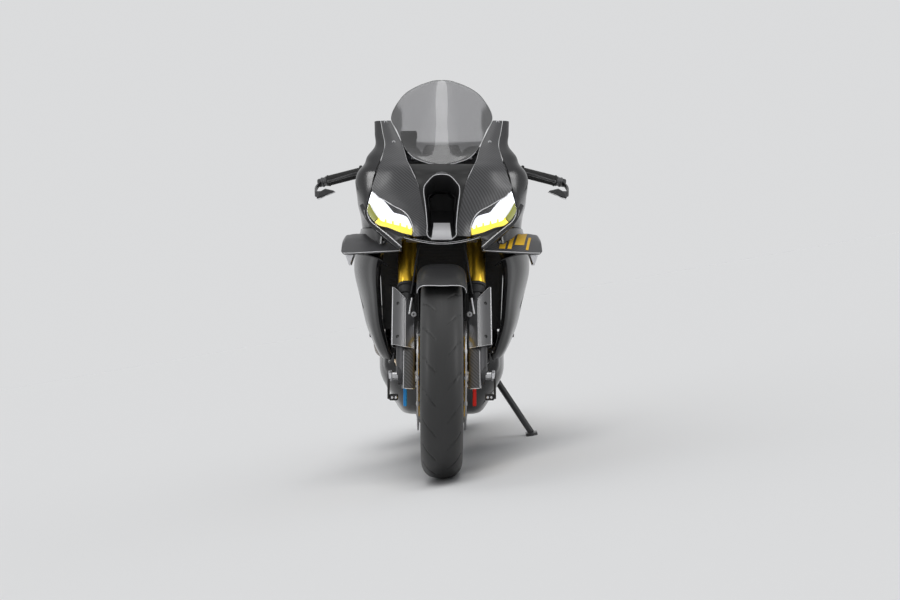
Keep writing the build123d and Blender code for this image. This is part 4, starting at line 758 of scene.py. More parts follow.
LAMP_TOP = ((207, 850), (194, 834), (166, 816), (139, 799), (114, 785), (99, 770), (87, 745), (82, 722))
LAMP_LOW = ((208, 848), (218, 812), (223, 794), (218, 778), (197, 752), (188, 745), (157, 736), (121, 721),
            (89, 712), (82, 720))
WHITE_TOP = ((206, 846), (193, 831), (172, 817), (154, 796), (141, 781), (125, 776), (102, 766), (92, 748),
             (85, 730))
WHITE_LOW = ((208, 842), (217, 812), (206, 792), (194, 774), (184, 761), (160, 751), (139, 745), (106, 736),
             (86, 727))
AMBER_LOW = ((218, 806), (222, 794), (217, 778), (197, 753), (188, 746), (157, 737), (121, 722), (88, 713))
AMBER_TOP = ((216, 812), (206, 792), (194, 774), (184, 761), (160, 751), (139, 745), (106, 736), (86, 727))
TEETH = ((188, 757), (167, 752), (145, 746), (123, 740), (103, 733), (90, 725))
piece("lamp_lenses", mirrored(shell(between(LAMP_TOP, LAMP_LOW, 48, 16, 1.0, 2.0), 1.5)), clear, "chassis",
      "clear_lens", "headlamps")
piece("lamp_bowls", mirrored(shell(between(LAMP_TOP, LAMP_LOW, 48, 12, -16.0, -6.0), 2.0)), moulded,
      "chassis", "black_plastic")
piece("lamp_guides", mirrored(shell(between(WHITE_TOP, WHITE_LOW, 48, 12, -6.0, 3.0), 2.0)), white_light,
      "chassis", "clear_lens")
strips = between(AMBER_TOP, AMBER_LOW, 60, 8, 3.4, 0.8)
piece("lamp_amber_strips", mirrored(shell(strips[:, 19:], 2.0)), amber_light, "chassis", "clear_lens")
piece("lamp_outer_strips", mirrored(shell(strips[:, :19], 2.0)), olive_light, "chassis", "clear_lens")
teeth = [prism([(-3.4, -6), (3.4, -6), (2.4, 10), (-2.4, 10)], (x, 14 + (x - 88) * 0.5 - 3.6, z),
               (0.9, 0.45, 0), (0, 0, 1), -2.4, 0.6) for x, z in TEETH]
piece("lamp_teeth", mirrored(together(*teeth)), amber_light, "chassis", "clear_lens")
# Painted highlight: the pale bead along the lamps' top edge stands for light caught on that edge.
lamp_edge = line(lamp_plane(LAMP_TOP, 4.0), 70)
piece("lamp_edge_highlight", mirrored(bead(lamp_edge[4:], 1.5)), edging, "chassis", "bare_steel")

BLADE_TOP = ((234, 108, 812), (224, 90, 794), (221, 84, 775), (212, 78, 758), (190, 66, 739), (157, 50, 712),
             (118, 34, 678))
BLADE_LOW = ((246, 120, 806), (238, 104, 785), (228, 94, 768), (214, 84, 748), (194, 72, 728),
             (163, 56, 700), (124, 40, 671))
blade = net([BLADE_TOP, (np.array(BLADE_TOP) * 0.5 + np.array(BLADE_LOW) * 0.5 + (3, -5, -2)).tolist(),
             BLADE_LOW], 10, 80)
piece("cheek_blades", mirrored(shell(blade, 3.0)), gloss, "chassis", "carbon_gloss")
# Painted highlights: the pale beads along the blades' edges stand for light caught on those edges.
piece("blade_edge_highlights", mirrored(together(bead(line(BLADE_TOP, 70)[6:] + (0, -2.2, 0.5), 1.5),
    bead(line(BLADE_LOW, 70)[4:] + (0, -2.2, -0.5), 1.6),
                                        bead(blade[5, 22:] + (0, -1.4, 0), 0.8))), edging, "chassis",
                                        "bare_steel")
under_top = lamp_plane(((222, 796), (218, 778), (197, 752), (188, 745), (157, 736), (121, 721), (88, 711)),
    0.0)
under_low = np.array(((222, 84, 786), (216, 80, 764), (200, 72, 748), (186, 66, 738), (155, 52, 716),
    (136, 44, 700), (108, 22, 702)), float)
under = net([under_top, (under_top + under_low) / 2 + (0, 5, 0), under_low], 12, 60)
piece("lamp_sills", mirrored(shell(under, 2.5)), satin, "chassis", "carbon_gloss")

SCREEN = (
    # s of the centre line, z of it, half width, s and z at the edge
    (74, 926, 40, 72, 930),
    (80, 934, 72, 84, 942),
    (98, 956, 100, 118, 966),
    (120, 984, 116, 152, 992),
    (152, 1030, 136, 200, 1040),
    (182, 1078, 156, 250, 1084),
    (226, 1136, 138, 272, 1134),
    (258, 1176, 106, 286, 1172),
    (280, 1200, 62, 292, 1196),
    (290, 1209, 30, 294, 1207),
)
screen_control = [[(half * k, middle_s + (edge_s - middle_s) * abs(k) ** 2.2, middle_z + (edge_z - middle_z)
                    * k * k)
                   for k in np.linspace(-1, 1, 9)] for middle_s, middle_z, half, edge_s, edge_z in SCREEN]
screen_grid = net(screen_control, 70, 60)
piece("screen_shell", shell(screen_grid, 2.6), smoked, "chassis", "clear_lens", "windscreen")
# Painted highlight: the pale beads round the screen's edge stand for light caught on its rim.
screen_rim_highlight = np.concatenate((screen_grid[30:, 0], screen_grid[-1, 1:-1], screen_grid[30:, -1][::-1]))
piece("screen_rim_highlight", together(bead(screen_rim_highlight + (0, -1.4, 0), 0.9), bead(screen_grid[:12, 0][::-1].tolist()
    + (screen_grid[0, 1:-1] + (0, -0.8, 0)).tolist()
                                                                       + screen_grid[:12, -1].tolist(),
                                                                       1.3)), edging, "chassis",
                                                                       "clear_lens")


# ================= winglets =================
WING = (
    # x, leading edge s, z, trailing edge s, z, thickness
    (120, 62, 670, 140, 712, 9),
    (170, 57, 667, 158, 720, 11),
    (230, 54, 664, 174, 724, 12),
    (280, 56, 662, 182, 722, 12),
    (294, 60, 663, 178, 717, 10),
    (300, 70, 668, 166, 706, 5),
)


def wing_face(spans, chords, lift=0.0):
    """Upper face of the winglet: straight from leading to trailing edge, arched by half a sine 6 mm high."""
    stations = np.array([row[0] for row in WING], float)
    values = cubic(stations, np.array([row[1:5] for row in WING], float), spans)
    t = chords[..., None]
    front, rear = values[..., 0:2], values[..., 2:4]
    face = front + (rear - front) * t
    arch = (np.sin(math.pi * chords) * 6.0 + lift)[..., None]
    chord = (rear - front) / np.linalg.norm(rear - front, axis=-1, keepdims=True)
    up = np.stack((-chord[..., 1], chord[..., 0]), axis=-1)
    face = face + up * arch
    return np.concatenate((spans[..., None], face), axis=-1)


def wing_sections():
    """Closed aerofoil sections: the upper face, and below it one pushed down by a teardrop thickness."""
    spans = np.concatenate((np.linspace(120, 280, 30), np.linspace(283, 300, 8)))
    chords = (1 - np.cos(np.linspace(0, math.pi, 26))) / 2
    x, t = np.meshgrid(spans, chords, indexing="ij")
    thick = cubic([row[0] for row in WING], np.array([row[5] for row in WING], float), spans)[:, None]
    above = wing_face(x, t)
    below = wing_face(x, t, -thick * np.sin(math.pi * np.sqrt(t)) ** 0.7 - 0.4)
    return np.concatenate((above, below[:, -2:0:-1]), axis=1)


piece("winglet_blades", mirrored(loft(wing_sections())), carbon, "chassis", "carbon_gloss", "winglets")
# Painted highlight: the pale bead along the winglets' leading edge stands for light caught on it.
wing_edge = wing_face(np.linspace(124, 292, 50), np.zeros(50))
piece("winglet_edge_highlight", mirrored(bead(wing_edge + (0, -0.6, -0.4), 1.1)), edging, "chassis", "bare_steel")


def stripe(start, end, lean, low, high):
    """Slanted bar on the wing's face: it drifts outwards by lean from its low to its high edge."""
    u, v = np.meshgrid(np.linspace(0, 1, 14), np.linspace(low, high, 10), indexing="ij")
    return shell(wing_face(start + (end - start) * u + lean * v, v, 0.9), 0.6)


piece("winglet_stripes", together(stripe(168, 186, 22, 0.12, 0.9), stripe(193, 205, 22, 0.12, 0.9),
    stripe(212, 240, 22, 0.3, 0.95), stripe(248, 256, 22, 0.1, 0.7)),
      yellow, "chassis", "carbon_gloss")
FIN = ((-16, 8), (16, 8), (15, -4), (4, -36), (-4, -36), (-15, -4))
piece("winglet_fins", mirrored(prism([(x + 274, z + 662) for x, z in FIN], (0, 104, 0), (1, 0, 0), (0, 0, 1),
    22, 5.0)), silver, "chassis", "bare_steel")
brace = net((
    ((258, 78, 661), (215, 80, 655), (180, 86, 642), (158, 96, 626)),
    ((256, 112, 668), (213, 116, 660), (186, 122, 646), (170, 128, 628)),
    ((250, 140, 678), (214, 146, 668), (194, 150, 652), (182, 154, 634))), 16, 30)
piece("winglet_braces", mirrored(shell(brace, 2.5)), gloss, "chassis", "carbon_gloss")


# ================= front wheel and fork =================
def tyre_skin(centre, radius, half, seat, sections, grooves, tread):
    """Tyre: its round section carried round the axle, the tread lowered where slanted grooves cross it."""
    bead_r = 216.3
    shoulder = radius - tread
    outside = line(((seat + 8, 228), (half * 0.955, 236), (half, shoulder - 16),
                    (half * 0.985, shoulder - 5), (half * 0.93, shoulder + 6),
                    (half * 0.66, radius - 0.255 * tread), (half * 0.33, radius - 0.055 * tread),
                    (0, radius)), 46)[::-1]
    right = np.concatenate((outside, ((seat - 0.3, 228), (seat - 0.3, bead_r), (seat - 12, bead_r))))
    inside = line(((seat - 10, bead_r + 2), (half - 12, shoulder - 12),
                   (half * 0.6, radius - 0.3 * tread - 11), (0, radius - 10)), 14)
    right = np.concatenate((right, inside))
    profile = np.concatenate((right, (right * (-1, 1))[-2:0:-1]))
    angle = np.linspace(0, 2 * math.pi, sections, endpoint=False)[:, None]
    x, r = profile[None, :, 0], np.broadcast_to(profile[None, :, 1], (sections, len(profile)))
    reach = np.abs(x) / half
    on_tread = (r > shoulder + 2) & (reach > 0.26) & (reach < 0.88)
    phase = angle * grooves / (2 * math.pi) + reach * 0.85 + np.where(x > 0, 0.5, 0.0)
    wave = np.abs(phase - np.round(phase)) * 2 * math.pi * radius / grooves
    deep = np.clip((3.4 - wave) / 1.4, 0, 1) * 2.6
    outer = np.arange(len(profile))
    shell_side = (outer < 46) | (outer > len(profile) - 46)
    r = r - deep * on_tread * shell_side[None, :]
    rings = np.stack((np.broadcast_to(x, r.shape), centre[1] - r * np.sin(angle),
        centre[2] + r * np.cos(angle)), axis=-1)
    return loft(rings, ring=True)


piece("front_tyre_skin", tyre_skin(FRONT_CENTRE, 300, 60, FRONT_SEAT, 540, 20, 36), rubber, "front_wheel",
      "tyre_rubber", "front_tyre", crease=50)
piece("rear_tyre_skin", tyre_skin(REAR_CENTRE, 326, 100, REAR_SEAT, 540, 18, 60), rubber, "rear_wheel",
      "tyre_rubber", "rear_tyre", crease=50)


def guard_grid(radius, half, drop, start, stop, centre, nose=0.0):
    """Arc about the axle from start to stop degrees behind its top, its sides lowered by a power curve."""
    across = np.linspace(-1, 1, 30)
    turn = np.radians(np.linspace(start, stop, 60))[:, None] - np.radians(nose) * (1 - across[None,
        :] ** 2) * np.linspace(1, 0, 60)[:, None] ** 2
    r = radius - drop * np.abs(across[None, :]) ** 3.2
    x = half * np.sin(across * math.pi / 2 * 0.96) / math.sin(math.pi / 2 * 0.96)
    return np.stack((np.broadcast_to(x[None, :], turn.shape), centre[1] + r * np.sin(turn),
        centre[2] + r * np.cos(turn)), axis=-1)


guard = guard_grid(325, 70, 42, -31.5, 57, FRONT_CENTRE, 5.0)
piece("front_guard", shell(guard, 2.6), satin_carbon, "steering", "carbon_gloss", "front_mudguard")
# Painted highlight: the pale bead on the mudguard's front lip stands for light caught on it.
piece("front_guard_edge_highlight", bead(guard[0] + (0, -0.8, 0.8), 1.3), edging, "steering", "bare_steel")

leg_back = -FORK_OFFSET
piece("fork_outers", mirrored(together(pin(on_fork(FORK_X, leg_back, 292), on_fork(FORK_X, leg_back, 748),
    28.2, 48, 2.0),
                                       pin(on_fork(FORK_X, leg_back, 746), on_fork(FORK_X, leg_back, 750),
    22, 32, 1.0))), gold, "steering", "gold_metal", "fork_tubes")
piece("fork_inners", mirrored(pin(on_fork(FORK_X, leg_back, 60), on_fork(FORK_X, leg_back, 295), 22.2, 40,
    0.5)), satin, "steering", "bare_steel")
piece("fork_seals", mirrored(together(pin(on_fork(FORK_X, leg_back, 284), on_fork(FORK_X, leg_back, 294),
    29.6, 40, 2.0), pin(on_fork(FORK_X, leg_back, 258), on_fork(FORK_X, leg_back, 285), 25.5, 40, 2.0))),
    moulded, "steering", "black_plastic")
piece("fork_caps", mirrored(together(pin(on_fork(FORK_X, leg_back, 749), on_fork(FORK_X, leg_back, 755), 19,
    6, 1.5),
                                     pin(on_fork(FORK_X, leg_back, 754), on_fork(FORK_X, leg_back, 761), 8,
    24, 1.0))), blue, "steering", "gold_metal")

COVER_COLUMNS = ((134, -4), (144, -24), (146.5, -46), (145, -52), (142, -56), (126, -70), (109, -81),
                 (106.5, -82), (104, -81.5), (92, -76), (83, -71), (81, -66), (81, -52))
COVER_TOP = (272, 274, 274, 274, 272, 250, 226, 222, 221, 217, 212, 208, 200)
COVER_LOW = (96, 92, 90, 89, 88, 79, 71, 70, 70, 70, 70, 72, 80)


def about_fork(columns, tops, lows, rows):
    """Grid beside the leg: each column of (x, back) runs from its low to its high place along the fork."""
    t = np.linspace(0, 1, rows)
    cross = np.array([(x, back, low, high) for (x, back), high, low in zip(columns, tops, lows)], float)
    h = cross[None, :, 3] + (cross[None, :, 2] - cross[None, :, 3]) * t[:, None]
    x, back = (np.broadcast_to(cross[None, :, k], h.shape) for k in (0, 1))
    return np.stack(on_fork(x, back, h), axis=-1)


cover_grid = about_fork(COVER_COLUMNS, COVER_TOP, COVER_LOW, 30)
piece("fork_covers", mirrored(shell(cover_grid, 2.5)), satin_grey, "steering", "black_plastic",
      "brake_ducts", crease=18)
# Painted highlights: the pale beads along the fork covers' edges stand for light caught on them.
piece("cover_edge_highlights", mirrored(together(bead(cover_grid[:, 3] + (0.6, -1.6, 0), 2.0),
    bead(cover_grid[1:, 7] + (0, -1.2, 0), 1.5), bead(cover_grid[-1, 3:12] + (0, -1.0, 0.6), 1.5),
                                        bead(cover_grid[0, 3:12] + (0, -1.0, -0.6), 1.2))),
      edging, "steering", "bare_steel")
SCOOP_COLUMNS = ((114, -44), (112, -60), (110, -66), (107, -69), (94, -70), (84, -68), (82, -66), (81, -61),
                 (81, -48))
SCOOP_TOP = (60, 62, 64, 68, 70, 70, 69, 68, 62)
SCOOP_LOW = (-46, -50, -53, -55, -56, -56, -55, -53, -48)
scoop = about_fork(SCOOP_COLUMNS, SCOOP_TOP, SCOOP_LOW, 24)
piece("brake_scoops", mirrored(shell(scoop, 2.5)), carbon, "steering", "carbon_gloss", crease=18)
# Painted highlights: the pale beads along the brake scoops' edges stand for light caught on them.
piece("scoop_edge_highlights", mirrored(together(bead(scoop[:, 2] + (0.5, -1.3, 0), 1.5),
    bead(scoop[-1, 2:7] + (0, -1.2, 0.6), 1.4))), edging, "steering", "bare_steel")


def screw(at, along, radius, height=None):
    """Round head with a drive socket: a turned profile on the surface at a point, facing along."""
    h = height or radius * 0.7
    profile = ((0.25 * radius, 0.2 * h), (0.5 * radius, 0.2 * h), (0.5 * radius, h), (0.82 * radius, h),
               (radius, 0.7 * h), (radius, -1.5), (0.25 * radius, -1.5))
    return turned_shape(profile, at, along, 20)


piece("guard_stays", mirrored(pin((88, 34, 528), (96, 20, 480), 2.6, 14, 0.8)), edging, "steering",
      "bare_steel")
piece("cover_bolts", mirrored(screw(on_fork(83, -74, 176), (-0.2, -1, 0.1), 8.0)), pale_metal, "steering",
      "bare_steel")
piece("cover_screws", mirrored(together(screw(on_fork(129, -68.5, 214), (0.5, -1, 0), 5.2),
    screw(on_fork(129, -68.5, 108), (0.5, -1, 0), 5.2))), matt_black, "steering", "black_plastic")
ear_net = net(levels(EAR), 90, 24)


def on_ear(x, z):
    """Point of the ear's surface nearest to x and z."""
    points = ear_net.reshape(-1, 3)
    return points[np.argmin(np.hypot(*(points[:, ::2] - (x, z)).T))]


piece("ear_screws", mirrored(together(screw(on_ear(173, 1072) + (0, -0.6, 0), (0.1, -1, 0.3), 5.4),
    screw(on_ear(147, 1004) + (0, -0.6, 0), (0.1, -1, 0.35), 5.4))), pale_metal,
      "chassis", "bare_steel")
# Painted highlights: the pale beads along the ears' edges stand for light caught on them.
ear_highlight_lines = together(bead(ear_net[2:, 0] + (0.2, -1.2, 0), 1.7), bead(ear_net[2:, 2] + (0, -1.0, 0), 0.6),
    bead(ear_net[44:, -1] + (-0.4, -1.2, 0), 1.2),
                     bead(ear_net[-1] + (0, -0.8, 0.3), 1.0))
piece("ear_edge_highlights", mirrored(ear_highlight_lines), edging, "chassis", "bare_steel")
TAB = [(-4.5, 208), (4.5, 208), (5.5, 214), (5.5, 268), (-5.5, 268), (-5.5, 214)]
for name, x, colour in (("foot_tab_right", -108, blue), ("foot_tab_left", 97, red)):
    piece(name, prism(TAB, (x, 36, 0), (1, 0, 0), (0, 0, 1), 9, 2.0), colour, "steering", "gold_metal")
piece("axle_protectors", mirrored(together(
    prism([(-16, 232), (16, 232), (19, 240), (12, 306), (0, 314), (-12, 306), (-19, 240)], (153, 0, 0),
          (0, 1, 0), (0, 0, 1), 6, 2.0),
    prism([(-14, 228), (14, 228), (14, 246), (-14, 246)], (128, 0, 0), (0, 1, 0), (0, 0, 1), 26, 3.0))),
    moulded, "steering", "black_plastic")
piece("axle_ends", mirrored(together(pin((145, 0, 300), (156, 0, 300), 16, 6, 2.0),
    pin((134, -13, 237), (134, -17, 237), 4, 16, 1.0), pin((145, -13, 237), (145, -17, 237), 4, 16, 1.0))),
      silver, "steering", "bare_steel")


# ================= tank, seat and tail =================
def whole(half_rows, rows, columns):
    """Closed body from half outlines at positive x, bottom to top: smoothed, then mirrored."""
    grid = net(half_rows, rows, columns)
    other = grid[:, ::-1] * (-1, 1, 1)
    return loft(np.concatenate((grid, other[:, 1:-1]), axis=1))


TANK = (
    # s, half width low, half width high, bottom, shoulder, top
    (390, 30, 24, 900, 922, 938),
    (393, 56, 46, 884, 924, 950),
    (412, 92, 70, 878, 936, 972),
    (450, 126, 94, 874, 950, 995),
    (520, 172, 114, 858, 958, 1010),
    (590, 188, 119, 836, 950, 1011),
    (660, 174, 106, 802, 928, 999),
    (720, 146, 94, 780, 896, 972),
    (780, 128, 84, 770, 862, 930),
    (830, 114, 74, 764, 828, 884),
    (848, 106, 66, 764, 812, 862),
    (851, 84, 50, 772, 806, 840),
)
tank_rows = [[(0, s, bottom), (low * 0.5, s, bottom), (low * 0.82, s, bottom + 3),
              (low * 0.98, s, bottom * 0.6 + shoulder * 0.4), (low * 0.97, s, shoulder),
              (high * 1.06, s, top - 20), (high * 0.78, s, top - 3), (high * 0.4, s, top + 3),
              (0, s, top + 4)] for s, low, high, bottom, shoulder, top in TANK]
piece("tank_shell", whole(tank_rows, 90, 60), gloss, "chassis", "carbon_gloss", "fuel_tank")
cap_at = (0, 560, 1013)
cap = ((0.5, 9), (20, 9), (22, 8), (22.5, 4), (30, 3.5), (38, 3), (39, 0), (39, -8), (0.5, -8))
piece("filler_cap", together(turned_shape(cap, cap_at, (0, 0, 1), 72),
    *[pin((30 * math.cos(a), 560 + 30 * math.sin(a), 1015), (30 * math.cos(a), 560 + 30 * math.sin(a),
    1018.5), 2.8, 12, 0.6)
                                                                     for a in np.linspace(0, 2 * math.pi,
    7)[:-1]],
                            prism(oblong(4, 11, 3), (0, 560, 1021), (1, 0, 0), (0, 1, 0), 2.5, 0.6)), satin,
                            "chassis", "black_plastic")
knee = net([[(low * 0.99 + 1.0, s, z0), (low * 1.0 + 2.6, s, (z0 + z1) / 2), (low * 0.985 + 1.2, s, z1)]
            for s, low, z0, z1 in
            ((600, 187, 868, 930), (650, 176, 846, 912), (700, 155, 824, 892), (750, 137, 808, 868),
             (790, 126, 800, 846))], 30, 16)
piece("tank_grip_pads", mirrored(shell(knee, 2.2)), moulded, "chassis", "black_plastic")

SEAT = (
    # s, half width, underside, edge, crown
    (851, 62, 772, 806, 818),
    (856, 88, 766, 808, 827),
    (885, 108, 766, 812, 830),
    (940, 130, 770, 818, 836),
    (1020, 139, 778, 824, 842),
    (1090, 139, 786, 832, 850),
    (1130, 132, 794, 842, 862),
    (1147, 118, 800, 846, 866),
    (1149.5, 96, 808, 842, 856),
)
seat_rows = [[(0, s, under), (w * 0.6, s, under), (w * 0.93, s, under + 4), (w, s, under * 0.5 + edge * 0.5),
              (w * 0.98, s, edge), (w * 0.86, s, crown - 4),
              (w * 0.5, s, crown), (0, s, crown + 1)] for s, w, under, edge, crown in SEAT]


def seat_form():
    """The seat's closed skin with sewn channels: cosine dips across it at four stations, deepest on top."""
    grid = net(seat_rows, 140, 54)
    s, height = grid[..., 1], grid[..., 2]
    over = np.clip((np.arange(54)[None, :] - 30) / 10.0, 0, 1)
    for at in (905, 965, 1025, 1085):
        near = np.clip(1 - np.abs(s - at) / 9.0, 0, 1)
        height = height - over * 3.2 * (1 - np.cos(math.pi * near)) / 2
    grid = np.concatenate((grid[..., :2], height[..., None]), axis=-1)
    other = grid[:, ::-1] * (-1, 1, 1)
    return grid, loft(np.concatenate((grid, other[:, 1:-1]), axis=1))


seat_grid, seat_part = seat_form()
seat = piece("seat_pad", seat_part, seat_cloth, "chassis", "seat_cover", "rider_seat", crease=60)
seam = seat_grid[6:-6, 34] + (0.4, 0, 0.6)
piece("seat_piping", mirrored(bead(seam, 1.7, count=10)), seat_cloth, "chassis", "seat_cover")
stitches = [bead(seam[k:k + 2] + (-5.5, 0, 1.6), 0.6, count=6) for k in range(2, len(seam) - 3, 2)]
piece("seat_stitches", mirrored(together(*stitches)), satin_grey, "chassis", "seat_cover")

TAIL = (
    # s, half width, bottom, waist, top
    (1150, 126, 806, 850, 932),
    (1156, 132, 801, 850, 942),
    (1200, 126, 812, 862, 962),
    (1260, 115, 832, 884, 976),
    (1340, 101, 856, 904, 986),
    (1420, 80, 884, 924, 989),
    (1490, 58, 910, 942, 988),
    (1528, 45, 925, 950, 984),
    (1531, 36, 934, 954, 976),
)
tail_rows = [[(0, s, low + 2), (w * 0.4, s, low), (w * 0.72, s, low + 4), (w, s, waist),
              (w * 0.84, s, (waist + high) / 2 + 6), (w * 0.62, s, high - 12),
              (w * 0.3, s, high - 1), (0, s, high)] for s, w, low, waist, high in TAIL]
piece("tail_shell", whole(tail_rows, 90, 48), gloss, "chassis", "carbon_gloss", "seat_cowl")
pad = net([[(x, s - 2 * abs(x) / 60, z) for x in np.linspace(-72, 72, 7)] for s,
           z in ((1149, 868), (1146, 880), (1146, 905), (1149, 926))], 24, 40)
piece("tail_bump_pad", shell(pad, -8.0), seat_cloth, "chassis", "seat_cover")
piece("tail_lamp_lens", prism([(-37, 947), (-28, 932), (28, 932), (37, 947), (26, 972), (-26, 972)],
    (0, 1531, 0), (1, 0, 0), (0, 0, 1), -15, 3.0), red_lens, "chassis", "red_lens",
      "tail_lamp")
piece("tail_lamp_bars", together(*[prism(oblong(24 - 3 * k, 2.2, 1.5), (0, 1544, 945 + 9 * k), (1, 0, 0),
    (0, 0, 1), -2.5, 0.4) for k in range(3)]), red, "chassis", "red_lens")


# ================= lower bodywork and exhaust =================
BELLY = (
    # s, half width at the top, top, half width low, bottom
    (338, 150, 352, 52, 236),
    (346, 168, 350, 62, 222),
    (380, 184, 350, 88, 192),
    (430, 196, 351, 110, 167),
    (520, 198, 351, 122, 150),
    (620, 194, 350, 126, 142),
    (720, 180, 328, 122, 142),
    (802, 160, 300, 112, 148),
)
belly_rows = [[(w, s, top), (w - 3, s, top * 0.62 + low * 0.38 + 8), (bottom_w + 26, s, low + 40),
               (bottom_w + 2, s, low + 9), (bottom_w * 0.5, s, low + 1), (0, s, low),
               (-bottom_w * 0.5, s, low + 1), (-bottom_w - 2, s, low + 9), (-bottom_w - 26, s, low + 40),
               (3 - w, s, top * 0.62 + low * 0.38 + 8), (-w, s, top)]
              for s, w, top, bottom_w, low in BELLY]
belly_grid = net(belly_rows, 70, 90)
piece("belly_skin", shell(belly_grid, 3.0), gloss, "chassis", "carbon_gloss", "belly_pan")
# Painted highlight: the pale bead along the belly pan's top edge stands for light caught on it.
piece("belly_edge_highlight", mirrored(bead(belly_grid[:, 0] + (0.3, 0, 0.6), 1.0)), edging, "chassis", "bare_steel")

piece("hugger_skin", shell(guard_grid(343, 100, 34, -20, -80, REAR_CENTRE), 2.6), carbon, "chassis",
      "carbon_gloss", "rear_hugger")

CAN = (
    # s, centre x, centre z, half width, half height
    (1012, -188, 366, 30, 34),
    (1016, -188, 367, 40, 44),
    (1060, -196, 384, 50, 58),
    (1140, -204, 407, 51, 59),
    (1230, -212, 432, 50, 58),
    (1262, -214, 441, 48, 54),
)


def can_sections(table, grow=0.0, count=44):
    """Rounded-square sections of the silencer: cosine and sine pressed towards the corners."""
    a = np.linspace(0, 2 * math.pi, count, endpoint=False)
    c, d = np.sign(np.cos(a)) * np.abs(np.cos(a)) ** 0.72, np.sign(np.sin(a)) * np.abs(np.sin(a)) ** 0.72
    rows = np.array(table, float)
    s = rows[:, 0]
    at = np.linspace(s[0], s[-1], 40)
    fit = cubic(s, rows[:, 1:], at)
    return np.stack((fit[:, 0:1] + (fit[:, 2:3] + grow) * c, np.broadcast_to(at[:, None], (40, count)),
        fit[:, 1:2] + (fit[:, 3:4] + grow) * d), axis=-1)


piece("silencer_can", loft(can_sections(CAN)), titanium, "chassis", "satin_black", "silencer")
end_ring = can_sections(CAN, 1.5)[-1]
end_centre = np.array((-216, 1290, 450), float)


def cap_ring(size, s, pull):
    """The can's last section scaled about its middle, set at s and moved by pull."""
    return (end_centre + (end_ring - end_ring.mean(axis=0)) * size) * (1, 0, 1) + (0, s, 0) + pull


cap_rings = [cap_ring(1.0, 1258, (2, 0, -9)), cap_ring(1.02, 1266, (1.5, 0, -7)),
             cap_ring(0.96, 1284, (0, 0, -1)), cap_ring(0.86, 1292, (0, 0, 0)),
             cap_ring(0.6, 1290, (0, 0, 0)),
             cap_ring(0.56, 1270, (0, 0, -3)), cap_ring(0.6, 1256, (0, 0, -6))]
piece("silencer_cap", loft(cap_rings, ring=True), satin, "chassis", "satin_black")
outlet = ((29, 0), (31, -1), (32, -40), (29, -40))
piece("silencer_outlet_tube", turned_shape(outlet, (-216, 1294, 451), (0, 1, 0.1), 48), pipe_metal,
      "chassis", "bare_steel")
strap = can_sections([(1112, -201.5, 399, 53.5, 61.5), (1117, -202, 400.5, 54, 62), (1132, -203.3, 404.8, 54,
    62), (1137, -203.8, 406, 53.5, 61.5)])
piece("silencer_strap", loft(strap), carbon, "chassis", "carbon_gloss")


# ================= handlebars and controls =================
BAR_START, BAR_END = np.array((92.0, 340.0, 968.0)), np.array((382.0, 393.0, 899.0))
BAR_LENGTH = np.linalg.norm(BAR_END - BAR_START)
BAR = (BAR_END - BAR_START) / BAR_LENGTH


def on_bar(distance):
    """Point of the left bar's middle line, at a distance from its inner end."""
    return BAR_START + BAR * distance


def round_bar(profile, count=40):
    """Profile of (radius, distance along the bar) turned round the bar, hollow to clear it."""
    profile = list(profile) + [(11.4, profile[-1][1]), (11.4, profile[0][1])]
    return turned_shape(profile, BAR_START, BAR, count)


ribs = [(21.5, 166), (22, 167), (22, 171), (20.5, 172.5), (17.2, 173)]
for k in range(26):
    ribs += [(16.9, 175 + 4 * k), (15.9, 176.2 + 4 * k), (15.9, 177.2 + 4 * k), (16.9, 178.4 + 4 * k)]
ribs += [(18.2, 280), (18.2, 283), (16.5, 284)]
piece("grip_sleeves", mirrored(round_bar(ribs)), grip_rubber, "steering", "grip_rubber", "grips")
piece("bar_ends", mirrored(together(round_bar(((15, 284.6), (16.4, 286), (16.4, 289), (14.5, 292),
    (14.5, 297), (16, 299), (16, 303), (14, 305))),
                                    screw(on_bar(304.5), BAR, 8.0, 4.0))), satin_grey, "steering",
                                    "bare_steel")
switch = [prism(oblong(19, 15, 6), on_bar(118), np.cross(BAR, (0, 0, 1)), np.cross(np.cross(BAR, (0, 0, 1)),
    BAR), 16, 2.0)]
piece("switch_boxes", mirrored(together(round_bar(((15, 112), (16.5, 114), (16.5, 136), (15, 138))),
    *switch)), moulded, "steering", "black_plastic")
buttons = [pin(on_bar(126) + (0, 17, 6 - 11 * k), on_bar(126) + (0, 21, 6 - 11 * k), 4.2, 18, 1.0)
           for k in range(2)]
piece("switch_buttons", together(*buttons), red, "steering", "black_plastic")
PERCH = on_bar(148)
perch = together(round_bar(((16, 138.5), (18.5, 140), (18.5, 158), (16, 160))),
                 sweep(line([PERCH + (0, -12, 0), PERCH + (0, -30, -3), PERCH + (2, -48, -6)], 12),
    oblong(9, 8, 4)),
                 pin(PERCH + (2, -48, 4), PERCH + (2, -48, -16), 8, 24, 2.0))
blade_path = line([PERCH + (0, -48, -6), on_bar(168) + (0, -62, -7), on_bar(194) + (0, -72, -7),
                   on_bar(236) + (0, -70, -8), on_bar(272) + (0, -66, -9), on_bar(280) + (0, -66, -9)], 40)
widths = np.interp(np.linspace(0, 1, 40), (0, 0.08, 0.3, 0.9, 0.96, 1.0), (1.2, 1.3, 1.0, 0.8, 1.15, 0.7))
piece("lever_blades", mirrored(together(perch, sweep(blade_path, oblong(4.2, 6.2, 3), across=(0, 0, 1),
    scale=widths))), satin, "steering", "black_plastic", "levers")
piece("lever_pivots", mirrored(together(screw(PERCH + (2, -48, 5), (0, 0, 1), 4.5),
    screw(PERCH + (0, -19, 6), (0, -0.4, 1), 3.0), screw(PERCH + (6, -19, 6), (0, -0.4, 1), 3.0))),
      silver, "steering", "bare_steel")
